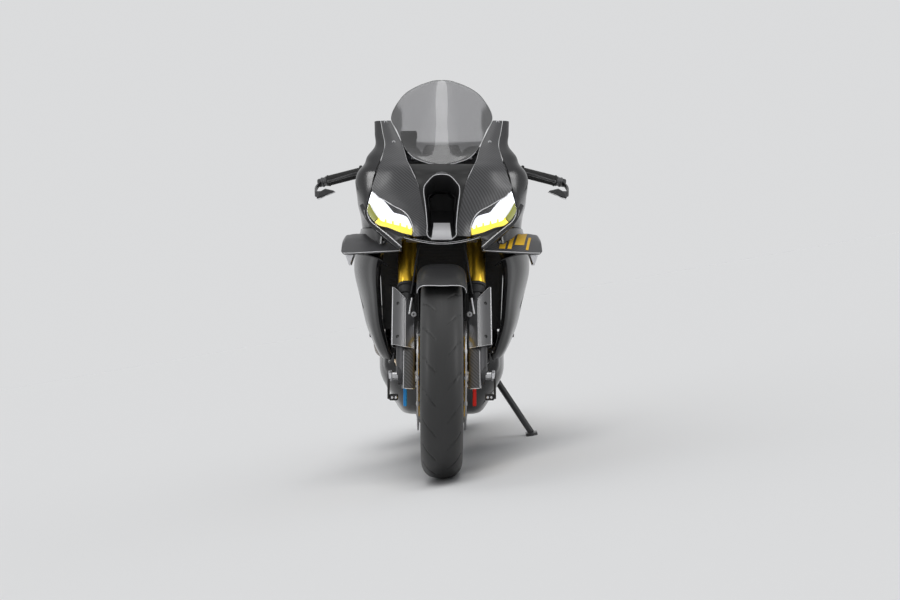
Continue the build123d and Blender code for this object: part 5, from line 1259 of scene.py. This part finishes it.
piece("clutch_adjuster", pin(PERCH + (-2, -40, -2), PERCH + (-14, -46, 2), 7.0, 24, 1.5), gold, "steering",
      "gold_metal")
piece("clutch_adjuster_ring", pin(PERCH + (-14, -46, 2), PERCH + (-22, -50, 4), 5.0, 20, 1.0), silver,
      "steering", "bare_steel")
clutch_cable = line([PERCH + (-20, -49, 4), PERCH + (-44, -52, -6), on_fork(132, -64, 665),
    on_fork(112, -62, 620), on_fork(90, -61, 560), on_fork(74, -59, 500), on_fork(68, -57, 478)], 50)
piece("clutch_cable", bead(clutch_cable, 3.4, count=12), moulded, "steering", "black_plastic")

guard_path = line([on_bar(BAR_LENGTH + 4), on_bar(BAR_LENGTH + 8) + (2, -22, -8), (396, 340, 878),
                   (395, 295, 862), (388, 262, 851), (374, 250, 850)], 36)
guard_size = np.interp(np.linspace(0, 1, 36), (0, 0.15, 0.7, 1.0), (0.75, 0.85, 1.1, 1.25))
blade_tip = [(389, 836), (383, 856), (362, 868), (336, 862), (330, 857), (352, 848)]
guards = together(sweep(guard_path, oblong(3.2, 8.5, 2.8), across=(1, 0, 0), scale=guard_size),
                  prism(blade_tip, (0, 262, 0), (1, 0, 0), (0, 0, 1), 16, 3.0),
                  pin(on_bar(BAR_LENGTH + 0.5), on_bar(BAR_LENGTH + 14), 13.5, 32, 2.5))
piece("guard_blades", mirrored(guards), satin, "steering", "black_plastic", "lever_guards", crease=25)
# Painted highlight: the pale bead under the lever guards' blade stands for light caught on its edge.
piece("guard_edge_highlight", mirrored(bead(line([(330, 244, 857), (352, 244, 848.5), (388, 244, 837),
    (389, 246, 842)], 24), 0.9)), edging, "steering", "bare_steel")

RES = np.array(on_fork(-103, -62, 762))
RISE = np.array((0, math.sin(RAKE), math.cos(RAKE)))
RUNS = np.array((0, math.cos(RAKE), -math.sin(RAKE)))
cup = prism(oblong(24, 20, 7), RES - RISE * 20, (1, 0, 0), RUNS, 44, 3.0)
lid = prism(oblong(26, 21.5, 8), RES + RISE * 23, (1, 0, 0), RUNS, 9, 2.0)
stem = sweep(line([RES - RISE * 10 + RUNS * 14, RES - RISE * 26 + RUNS * 12, RES - RISE * 40 + RUNS * 4],
                  10), oblong(7, 4, 2))
piece("reservoir_cup", together(cup, stem), moulded, "steering", "black_plastic", "brake_reservoir")
piece("reservoir_lid", together(lid, *[screw(RES + RISE * 32 + RUNS * v + np.array((u, 0, 0)), RISE, 2.6)
    for u, v in ((-20, -15), (20, -15), (-20, 15), (20, 15))]), satin_grey, "steering",
      "black_plastic")
# Painted highlight: the pale bead along the reservoir lid's front edge stands for light caught on it.
piece("reservoir_rim_highlight", bead(np.array([RES - RUNS * 21.8 + RISE * 25 + np.array((u, 0, 0))
    for u in np.linspace(-22, 22, 12)]), 0.8), edging, "steering", "bare_steel")
hose = line([RES - RISE * 11, RES - RISE * 34 + RUNS * 20, (-132, 330, 935), (-150, 318, 945),
             tuple((on_bar(150) + (0, -34, -6)) * (-1, 1, 1))], 30)
piece("reservoir_hose", bead(hose, 4.0, count=12), grip_rubber, "steering", "black_plastic")
brake_lines = together(mirrored(bead(line([on_fork(14, -48, 470), on_fork(40, -58, 452),
    on_fork(66, -66, 410), on_fork(76, -66, 360), on_fork(84, -60, 300), on_fork(92, -54, 250)], 50),
                                     3.0, count=10)), pin(on_fork(-18, -46, 470), on_fork(18, -46, 470), 8,
    24, 2.0))
piece("brake_lines", brake_lines, moulded, "steering", "black_plastic")
clamp_bolts = [screw(on_fork(FORK_X - 14 + 28 * k, leg_back - 38.5, up),
    (0, -math.cos(RAKE), math.sin(RAKE)), 4.5) for k in (0, 1) for up in (470, 705)]
piece("yoke_bolts", mirrored(together(*clamp_bolts)), steel, "steering", "bare_steel")
piece("stem_nut", together(pin(on_fork(0, 0, 720.5), on_fork(0, 0, 730), 19, 6, 1.5), pin(on_fork(0, 0, 729),
    on_fork(0, 0, 736), 10, 28, 1.0)), steel, "steering", "bare_steel")

DIAL_AT = np.array((0, 184, 940))
DIAL_UP, DIAL_OUT = np.array((0, 0.42, 0.907)), np.array((0, -0.907, 0.42))
dial_outline = [(-50, 3), (-44, 0), (44, 0), (50, 3), (59, 24), (59.5, 30), (51, 52), (46, 56), (-46, 56),
                (-51, 52), (-59.5, 30), (-59, 24)]
piece("instrument_case", prism(dial_outline, DIAL_AT, (1, 0, 0), DIAL_UP, 19, 4.0), moulded, "chassis",
      "black_plastic", "instrument")
dial_face = [(-46, 6), (46, 6), (53, 27), (44, 49), (-44, 49), (-53, 27)]
piece("instrument_glass", prism(dial_face, DIAL_AT + DIAL_OUT * 1.2, (1, 0, 0), DIAL_UP, 2.0, 0.6), clear,
      "chassis", "clear_lens")


def dial_back(u, v):
    """Point just off the instrument's back, which looks forwards: u across it and v up it."""
    return DIAL_AT + (u, 0, 0) + DIAL_UP * v + DIAL_OUT * 19.2


piece("instrument_screws", together(*[screw(dial_back(u, v), DIAL_OUT, 3.6) for u,
    v in ((-44, 16), (44, 16))],
                                    *[screw(dial_back(u, v), DIAL_OUT, 2.6) for u, v in ((-42, 46), (42, 46),
    (-54, 31), (54, 31))]), pale_metal, "chassis", "bare_steel")
stay = net([[(x, 150 + abs(x) * 0.3, z) for x in (-70, -24, 24, 70)] for z in (918, 940, 962)], 14, 24)
piece("instrument_stay", shell(stay, 3.0), moulded, "chassis", "black_plastic")


# ================= wheels and brakes =================
def barrel(centre, seat):
    """Rim barrel turned round the axle: flanges, bead seats and a dropped well with rounded corners."""
    face = seat + 4.5
    half = ((226, face), (227, face - 1), (227, seat + 1), (226, seat), (217, seat), (216, seat - 1),
            (216, seat - 15), (215, seat - 17), (199, seat - 23.5), (198, seat - 25))
    inner = ((192, seat - 27), (193, seat - 25), (211, face - 1.5), (213, face))
    profile = list(half) + [(r, -a) for r, a in reversed(half)] + [(r, -a) for r,
        a in reversed(inner)] + list(inner)
    return turned_shape(profile, centre, (1, 0, 0), 120)


def wheel_spokes(centre, count=5):
    """Forked spokes: each arm a rounded bar swept from the hub outwards, widest at the barrel."""
    arms = []
    for k in range(count):
        angle = 2 * math.pi * k / count
        out = np.array((0, math.cos(angle), math.sin(angle)))
        turn = np.array((0, -math.sin(angle), math.cos(angle)))
        for hand in (1, -1):
            path = line([np.asarray(centre) + out * r + turn * hand * t for r, t in ((26, 6), (66, 7),
                (106, 10), (140, 23), (170, 37), (195, 46))], 28)
            size = np.interp(np.linspace(0, 1, 28), (0, 0.25, 0.6, 0.92, 1.0), (1.15, 0.95, 0.85, 1.0, 1.25))
            arms.append(sweep(path, oblong(12.5, 9.0, 4.0), scale=size))
    return together(*arms)


def hub(centre, ends):
    """Hub turned round the axle, waisted between its ends."""
    low, high = ends
    profile = ((13, low), (30, low), (33, low + 2), (33, low + 8), (28, low + 20), (27, (low + high) / 2),
               (28, high - 20), (33, high - 8), (33, high - 2), (30, high), (13, high))
    return turned_shape(profile, centre, (1, 0, 0), 60)


piece("front_wheel_rim", together(barrel(FRONT_CENTRE, FRONT_SEAT), wheel_spokes(FRONT_CENTRE),
    hub(FRONT_CENTRE, (-66, 66))), satin, "front_wheel", "black_alloy", "front_rim")
rear_hub = together(hub(REAR_CENTRE, (-78, 78)), turned_shape(((13, 77), (50, 77), (52, 79), (52, 112),
    (50, 113.5), (13, 113.5)), REAR_CENTRE, (1, 0, 0), 60),
                    turned_shape(((13, -91), (38, -91), (40, -89), (40, -75), (13, -75)), REAR_CENTRE,
    (1, 0, 0), 60))
piece("rear_wheel_rim", together(barrel(REAR_CENTRE, REAR_SEAT), wheel_spokes(REAR_CENTRE), rear_hub), satin,
      "rear_wheel", "black_alloy", "rear_rim")


def around(centre, x, radius, count, phase=0.0):
    """Points evenly round an axle."""
    return [np.array((x, centre[1] + radius * math.cos(a), centre[2] + radius * math.sin(a)))
            for a in np.arange(count) * 2 * math.pi / count + phase]


def drilled_band(centre, x, inner, outer, half, rows):
    """Brake band with rings of holes through it: (band, holes)."""
    profile = ((inner, -half + 0.3), (inner + 0.4, -half), (outer - 0.4, -half), (outer, -half + 0.3),
               (outer, half - 0.3), (outer - 0.4, half), (inner + 0.4, half), (inner, half - 0.3))
    band = turned_shape(profile, (x, centre[1], centre[2]), (1, 0, 0), 120)
    holes = [pin(at - (6, 0, 0), at + (6, 0, 0), 3.0, 10, 0.3) for k, radius in enumerate(rows)
             for at in around(centre, x, radius, 12, 0.09 * k)]
    return band, together(*holes)


band, holes = drilled_band(FRONT_CENTRE, FRONT_DISC_X, 126, 160, 2.25, (133, 140, 147, 154))
front_bands = piece("front_disc_bands", mirrored(band), disc_steel, "front_wheel", "bare_steel",
                    "front_discs")
cut(front_bands, mirrored(holes))
band, holes = drilled_band(REAR_CENTRE, REAR_DISC_X, 80, 110, 2.25, (87, 94, 101))
rear_band = piece("rear_disc_band", band, disc_steel, "rear_wheel", "bare_steel", "rear_disc")
cut(rear_band, holes)


def spider(centre, x, hole, waist, reach, arms, thick, width):
    """Disc carrier: a ring on the hub and tapered arms out to the band's buttons."""
    ring = turned_shape(((hole, -thick), (waist, -thick), (waist + 1, -thick + 1), (waist + 1, thick - 1),
        (waist, thick), (hole, thick)), (x, centre[1], centre[2]), (1, 0, 0), 72)
    made = [ring]
    for k in range(arms):
        a = 2 * math.pi * k / arms
        made.append(prism([(waist - 6, -width), (reach, -width * 0.6), (reach + 4, 0), (reach, width * 0.6),
            (waist - 6, width)], (x - thick, centre[1], centre[2]),
                          (0, math.cos(a), math.sin(a)), (0, -math.sin(a), math.cos(a)), 2 * thick, 1.0))
    return together(*made)


carrier = together(spider(FRONT_CENTRE, FRONT_DISC_X, 24, 46, 124, 10, 3.2, 11),
                   turned_shape(((112, -2.6), (121, -2.6), (121, 2.6), (112, 2.6)),
    (FRONT_DISC_X, 0, FRONT_RADIUS), (1, 0, 0), 96))
piece("disc_carriers", mirrored(carrier), gold, "front_wheel", "bare_steel")
piece("disc_buttons", mirrored(together(*[pin(at - (4.2, 0, 0), at + (4.2, 0, 0), 6.2, 16, 1.0)
    for at in around(FRONT_CENTRE, FRONT_DISC_X, 127, 10)],
                                        *[pin(at, at + (5.5, 0, 0), 4.5, 6, 1.0)
    for at in around(FRONT_CENTRE, FRONT_DISC_X + 2, 36, 5, 0.3)])), steel, "front_wheel", "bare_steel")
piece("rear_carrier", spider(REAR_CENTRE, REAR_DISC_X, 23, 42, 80, 6, 3.2, 9), satin, "rear_wheel",
      "bare_steel")
piece("rear_wheel_bolts", together(*[pin(at, at - (5, 0, 0), 4.5, 6, 1.0) for at in around(REAR_CENTRE,
    REAR_DISC_X - 3, 32, 6, 0.3)],
                                   *[pin(at, at + (3.0, 0, 0), 6.0, 6, 0.8) for at in around(REAR_CENTRE,
    119.9, 43, 6, 0.5)]), steel, "rear_wheel", "bare_steel")
for name, centre, body in (("front_valve", FRONT_CENTRE, "front_wheel"), ("rear_valve", REAR_CENTRE,
    "rear_wheel")):
    at = np.array(centre) + np.array((0, math.cos(0.63), math.sin(0.63))) * 192
    toward = np.array((0, -math.cos(0.63), -math.sin(0.63)))
    piece(name, together(pin(at, at + toward * 22, 3.4, 14, 0.6), pin(at + toward * 21, at + toward * 32,
        4.4, 14, 1.0)), silver, body, "bare_steel")


def fork_plate(outline, x, depth, bevel):
    """Plate on the fork's side plane: outline in (back, up) from the axle, depth along x."""
    return prism(outline, on_fork(x, 0, 0), (0, math.cos(RAKE), -math.sin(RAKE)),
                 (0, math.sin(RAKE), math.cos(RAKE)), depth, bevel)


TURN = math.radians(40)
ALONG, OUT = (math.sin(TURN), -math.cos(TURN)), (math.cos(TURN), math.sin(TURN))


def by_disc(rows):
    """(along, radius) pairs about the front axle as (back, up) pairs."""
    return [(leg_back + OUT[0] * r + ALONG[0] * t, OUT[1] * r + ALONG[1] * t) for t, r in rows]


CALIPER = ((-60, 142), (-54, 133), (-44, 131), (44, 131), (54, 133), (60, 142), (55, 172), (48, 179),
           (30, 185), (-30, 185), (-48, 179), (-55, 172))
halves = together(fork_plate(by_disc(CALIPER), 46.3, 18, 4.0), fork_plate(by_disc(CALIPER), 73.6, 8.2, 2.5),
                  fork_plate(by_disc(((-54, 167), (-30, 170), (-30, 184), (-48, 178))), 60, 18, 1.5),
                  fork_plate(by_disc(((54, 167), (30, 170), (30, 184), (48, 178))), 60, 18, 1.5))
pistons = [pin(on_fork(40.5, b, u), on_fork(47, b, u), 15, 32, 2.0) for b,
           u in by_disc(((-24, 152), (24, 152)))]
piece("caliper_bodies", mirrored(together(halves, *pistons)), satin, "steering", "black_alloy",
      "front_calipers", crease=24)
piece("caliper_bolts", mirrored(together(*[screw(on_fork(46.5, b, u), (-1, 0, 0), 5.0, 5.0) for b,
    u in by_disc(((-46, 172), (46, 172), (0, 176)))])), silver, "steering", "bare_steel")


# ================= drive, swingarm and frame details =================
piece("frame_bosses", mirrored(together(pin((158, 851, 420), (166, 851, 420), 26, 6, 3.0),
    pin((161, 776, 625), (166, 776, 625), 13, 32, 2.0), pin((161, 882, 500), (165, 882, 500), 9, 32, 1.5),
                                        pin((161, 846, 545), (165, 846, 545), 9, 32, 1.5))), steel,
                                        "chassis", "bare_steel")
SPAR_LINE = ((110, 396, 822), (155, 450, 815), (172.5, 560, 772), (174, 660, 690), (162, 748, 570),
             (161, 800, 510))
rib = line(SPAR_LINE, 40)
piece("frame_ribs", mirrored(sweep(rib, oblong(3.4, 9, 3), across=(1, 0, 0),
    scale=np.sin(np.linspace(0.2, math.pi - 0.2, 40)) ** 0.3)), cast, "chassis", "black_alloy")
arm_rows = ((106, 935, 404), (118.5, 1050, 391), (144, 1140, 376), (152.5, 1290, 353), (152.5, 1390, 332))
arm_line = line(arm_rows, 40)
piece("swingarm_ribs", mirrored(sweep(arm_line, oblong(2.4, 14, 2.2), across=(1, 0, 0),
    scale=np.linspace(1.25, 0.8, 40))), cast, "chassis", "black_alloy")
blocks = together(prism(oblong(34, 17, 5), (152, 1457, 326.6), (0, 1, 0), (0, 0, 1), 5, 2.0),
                  pin((140, 1509, 327), (140, 1530, 327), 5, 6, 1.0), pin((140, 1500, 327), (140, 1514, 327),
    9, 6, 1.2))
piece("axle_blocks", mirrored(blocks), satin_grey, "chassis", "black_alloy")
chain_guard = net([[(x, s, z) for x, z in ((102, high - 3), (112, high + 2), (127, high + 2),
    (133, high - 3), (134, high - 16))] for s, high in
                   ((905, 474), (980, 471), (1100, 464), (1230, 457), (1320, 452))], 40, 14)
piece("chain_guard", shell(chain_guard, 2.0), moulded, "chassis", "black_plastic")

COIL_LOW = np.array((0, 1030.0, 444.3))
shock = frame["nodes"]["rear_shock"]
corners = np.array([shock.matrix_world @ v.co for v in shock.data.vertices])


def unpark(p):
    """park() undone: a point in the frame as (x, s, z) of the machine in millimetres."""
    return np.array([(p - AXLE) @ ACROSS, (p - AXLE) @ BACK, (p - AXLE) @ UP]) * 1000 + (0, 0, FRONT_RADIUS)


spots = np.array([unpark(p) for p in corners])
COIL_HIGH = np.array((0, spots[spots[:, 1].argmin()][1] + 14, spots[:, 2].max() - 14))
LEAD = (COIL_HIGH - COIL_LOW) / np.linalg.norm(COIL_HIGH - COIL_LOW)
LONG = np.linalg.norm(COIL_HIGH - COIL_LOW)
SIDEWAYS, THIRD = np.array((1.0, 0, 0)), np.cross(LEAD, (1.0, 0, 0))
turns = np.linspace(0, 7 * 2 * math.pi, 260)
pitch = np.interp(turns / turns[-1], (0, 0.08, 0.92, 1), (0.19, 0.215, 0.785, 0.81)) * LONG
coil = COIL_LOW + pitch[:, None] * LEAD + 27 * (np.cos(turns)[:, None] * SIDEWAYS + np.sin(turns)[:, None]
    * THIRD)
eyes = [pin(at - SIDEWAYS * 15.5, at + SIDEWAYS * 15.5, 13.5, 32, 2.0) for at in (COIL_LOW, COIL_HIGH)]
body = together(*eyes, pin(COIL_LOW + LEAD * 8, COIL_LOW + LEAD * LONG * 0.55, 15, 32, 2.0),
                pin(COIL_LOW + LEAD * LONG * 0.5, COIL_HIGH - LEAD * 8, 8, 24, 1.0),
                pin(COIL_LOW + LEAD * LONG * 0.155, COIL_LOW + LEAD * LONG * 0.19, 31.5, 40, 2.0),
                pin(COIL_LOW + LEAD * LONG * 0.81, COIL_LOW + LEAD * LONG * 0.842, 31.5, 40, 2.0))
piece("shock_body", body, satin_grey, "chassis", "black_alloy", "rear_shock")
piece("shock_spring", bead(coil, 4.6, count=12), yellow, "chassis", "black_alloy")


# ================= engine =================
def cover(centre, side_x, depth, radius, bolts, phase=0.0):
    """Round engine cover: a stepped, domed profile turned about the crank's direction, with its rim bolts."""
    hand = 1 if side_x > 0 else -1
    profile = ((2, depth + 1), (radius * 0.32, depth), (radius * 0.36, depth - 3),
               (radius * 0.78, depth - 4), (radius * 0.9, depth * 0.55), (radius + 3, depth * 0.35),
               (radius + 5, depth * 0.2),
               (radius + 5, -1), (2, -1))
    shape = turned_shape(profile, (side_x, centre[0], centre[1]), (hand, 0, 0), 72)
    heads = [screw((side_x + hand * depth * 0.3, centre[0] + (radius + 1) * math.cos(a),
                    centre[1] + (radius + 1) * math.sin(a)), (hand, 0, 0), 4.2, 5.0)
             for a in np.arange(bolts) * 2 * math.pi / bolts + phase]
    return shape, together(*heads)


COVER_X = 165                          # where the round covers start, either side
left_cover, left_bolts = cover((590, 430), COVER_X, 19, 68, 8)
clutch, clutch_bolts = cover((632, 416), -COVER_X, 23, 68, 9)
points_cover, points_bolts = cover((560, 452), -COVER_X, 21, 50, 6, 0.4)
piece("engine_covers", together(left_cover, clutch, points_cover), cast, "chassis", "dark_engine")
piece("engine_cover_bolts", together(left_bolts, clutch_bolts, points_bolts), steel, "chassis", "bare_steel")
BANK = math.radians(32)                # lean of the cylinders forwards
BANK_UP = np.array((0, -math.sin(BANK), math.cos(BANK)))
BANK_BACK = np.array((0, math.cos(BANK), math.sin(BANK)))
CRANK = np.array((0, 590.0, 430.0))
lines = [sweep(np.array([CRANK + BANK_UP * up + BANK_BACK * back + np.array((x, 0, 0))
    for x in (-188, 188)])[[0, 0, 1, 1]] + np.array(((-2.5, 0, 0), (0, 0, 0), (0, 0, 0), (2.5, 0, 0))),
               oblong(3, 4, 1.5), across=BANK_UP) for up in (150, 232) for back in (-84, 80)]


def head_plate(x):
    """Plate with clipped corners on the end of the cylinder head at x."""
    outline = [(-70, 242), (64, 242), (68, 250), (68, 304), (58, 312), (-66, 312), (-76, 304), (-76, 250)]
    return prism(outline, CRANK + np.array((x, 0, 0)), BANK_BACK, BANK_UP, 5.0, 2.0)


piece("cylinder_ribs", together(*lines, head_plate(188), head_plate(-193)), engine_metal, "chassis",
      "dark_engine")
piece("head_bolts", mirrored(together(*[screw(CRANK + BANK_UP * u + BANK_BACK * b + np.array((193, 0, 0)),
    (1, 0, 0), 4.5, 5.0) for b, u in ((-66, 252), (58, 252), (-66, 302), (58, 302), (-4, 252), (-4, 302))])),
      steel, "chassis", "bare_steel")
port = CRANK + BANK_UP * 200
ports = [pin(port - BANK_BACK * 86 + (x, 0, 0), port - BANK_BACK * 98 + (x, 0, 0), 27, 6, 2.0)
         for x in (-135, -45, 45, 135)]
piece("exhaust_flanges", together(*ports), steel, "chassis", "bare_steel")
duct = net([[(x0, s0, z), ((x0 + x1) / 2, (s0 + s1) / 2 + 6, z), (x1, s1, z)] for z, x0, s0, x1, s1 in
            ((438, 186, 330, 206, 336), (480, 188, 322, 222, 340), (527, 190, 312, 240, 338),
             (575, 192, 304, 252, 330), (623, 193, 295, 258, 318), (660, 195, 288, 252, 306),
             (692, 196, 282, 240, 296))], 30, 12)
piece("duct_sides", mirrored(shell(duct, 2.0)), matt_black, "chassis", "black_plastic")
fins = [prism([(-178, z), (178, z), (178, z + 1.6), (-178, z + 1.6)], (0, 332 - (z - 430) * 0.2, 0),
              (1, 0, 0), (0, 0, 1), 3.0, 0.4) for z in range(440, 694, 9)]
piece("radiator_fins", together(*fins), core_metal, "chassis", "satin_black")


# ================= footrests and side stand =================
PLATE_X = 160.3
peg_start, peg_end = np.array((PLATE_X + 22, 919.5, 398.5)), np.array((PLATE_X + 95, 925.7, 400.8))
peg_dir = (peg_end - peg_start) / np.linalg.norm(peg_end - peg_start)
rings = [(11.2, 0)]
for k in range(11):
    rings += [(12.6, 2 + 6.4 * k), (12.6, 5 + 6.4 * k), (11.4, 6 + 6.4 * k), (11.4, 7.6 + 6.4 * k)]
rings += [(12.4, 73), (9.0, 74.5), (3, 74.5), (3, 0)]
piece("footrest_sleeves", mirrored(turned_shape(rings, peg_start, peg_dir, 28)), satin, "chassis",
      "black_alloy")
heel = [(876, 470), (892, 480), (900, 474), (931, 410), (925, 392), (905, 388), (880, 430)]
piece("heel_plates", mirrored(prism(heel, (PLATE_X + 10.4, 0, 0), (0, 1, 0), (0, 0, 1), 3.0, 1.2)), carbon,
      "chassis", "carbon_gloss")
piece("footrest_bolts", mirrored(together(screw((PLATE_X + 13.4, 886, 466), (1, 0, 0), 5.0),
    screw((PLATE_X + 13.4, 886, 440), (1, 0, 0), 5.0),
                                          turned_shape(((3, -7), (8, -7), (9, -6), (9, 6), (8, 7), (3, 7)),
    (PLATE_X + 43, 776, 345), (1, 0, 0), 28))), silver, "chassis", "bare_steel")
piece("plate_screw_caps", pin((0, 560, 1020), (0, 560, 1023), 6, 24, 1.0), satin_grey, "chassis",
      "black_plastic")


# ================= floor, light and camera =================
CAMERA_BACK = 4300.0
CAMERA_HEIGHT = 522.0
SENSOR, FOCAL = 36.0, 58.6


def stage_piece(name, points, faces):
    """Plain mesh that belongs to the studio and not to the machine."""
    mesh = bpy.data.meshes.new(name)
    mesh.from_pydata(points, [], faces)
    thing = bpy.data.objects.new(name, mesh)
    bpy.context.scene.collection.objects.link(thing)
    return thing


floor_size = 80.0
floor = stage_piece("floor", [(-floor_size, -floor_size, 0), (floor_size, -floor_size, 0),
    (floor_size, floor_size, 0), (-floor_size, floor_size, 0)], [(0, 1, 2, 3)])
floor_material = bpy.data.materials.new("pale floor")
floor_material.use_nodes = True
floor_shader = floor_material.node_tree.nodes["Principled BSDF"]
floor_shader.inputs["Base Color"].default_value = (0.8, 0.8, 0.8, 1)
floor_shader.inputs["Roughness"].default_value = 0.9
floor_shader.inputs["Specular IOR Level"].default_value = 0.0
floor.data.materials.append(floor_material)

world = bpy.data.worlds.new("studio")
bpy.context.scene.world = world
world.use_nodes = True
tree = world.node_tree
tree.nodes.clear()
lit = add_node(tree, "ShaderNodeBackground", {"Color": (0.95, 0.97, 1.0, 1), "Strength": 0.34})
seen = add_node(tree, "ShaderNodeBackground", {"Color": (0.707, 0.712, 0.72, 1), "Strength": 1.0})
path = tree.nodes.new("ShaderNodeLightPath")
shown = sums(tree, "MAXIMUM", path.outputs["Is Glossy Ray"], path.outputs["Is Transmission Ray"])
direct = sums(tree, "MAXIMUM", path.outputs["Is Camera Ray"], shown)
mix = add_node(tree, "ShaderNodeMixShader", links={0: direct, 1: lit.outputs[0], 2: seen.outputs[0]})
add_node(tree, "ShaderNodeOutputWorld", links={0: mix.outputs[0]})


def placed(right, up, back, at=(0, 0, 0)):
    """Matrix of a lamp or camera from its three directions and its place."""
    matrix = np.eye(4)
    matrix[:3] = np.stack((right, up, back, at), axis=1)
    return Matrix(matrix)


def softbox(name, position, target, size, power, level=None):
    """Rectangular lamp facing a target, its first side level or along a given direction, in millimetres."""
    lamp = bpy.data.lights.new(name, "AREA")
    lamp.shape, lamp.size, lamp.size_y, lamp.energy = "RECTANGLE", size[0], size[1], power
    thing = bpy.data.objects.new(name, lamp)
    at, to = park(position), park(target)
    away = (at - to) / np.linalg.norm(at - to)
    right = np.cross((0, 0, 1), away) if level is None else level - away * (away @ level)
    right /= np.linalg.norm(right)
    thing.matrix_world = placed(right, np.cross(away, right), away, at)
    thing.visible_diffuse = False
    bpy.context.scene.collection.objects.link(thing)


def sky_lamp(name, position, strength, spread):
    """Broad even lamp from one side, the same all over the floor."""
    lamp = bpy.data.lights.new(name, "SUN")
    lamp.energy, lamp.angle = strength, math.radians(spread)
    thing = bpy.data.objects.new(name, lamp)
    away = np.asarray(position, float) / np.linalg.norm(position)
    right = np.cross((0, 0, 1), away)
    right /= np.linalg.norm(right)
    thing.matrix_world = placed(right, np.cross(away, right), away)
    thing.visible_glossy = False
    bpy.context.scene.collection.objects.link(thing)


sky_lamp("key", (0.25, -1.0, 2.2), 1.5, 38)
sky_lamp("back fill", (-0.6, 1.4, 1.6), 0.55, 45)
softbox("left strip", (2300, -900, 1300), (0, 300, 700), (0.3, 2.4), 26)
softbox("right strip", (-2300, -900, 1300), (0, 300, 700), (0.3, 2.4), 26)
softbox("overhead", (0, -600, 3400), (0, 300, 900), (0.42, 3.6), 12, ACROSS)
softbox("rear strip", (0, 4200, 2200), (0, 900, 800), (0.5, 1.6), 6, ACROSS)

camera_data = bpy.data.cameras.new("camera")
camera_data.sensor_width, camera_data.lens = SENSOR, FOCAL
camera_data.shift_x = 0.0092
camera_data.clip_start, camera_data.clip_end = 0.05, 60
camera = bpy.data.objects.new("camera", camera_data)
bpy.context.scene.collection.objects.link(camera)
# The camera leans with the machine, so that the machine looks upright and the floor slopes.
camera.matrix_world = placed(ACROSS, UP, -BACK, park((0, -CAMERA_BACK, CAMERA_HEIGHT)))
bpy.context.scene.camera = camera
bpy.context.scene.view_settings.view_transform = "Standard"
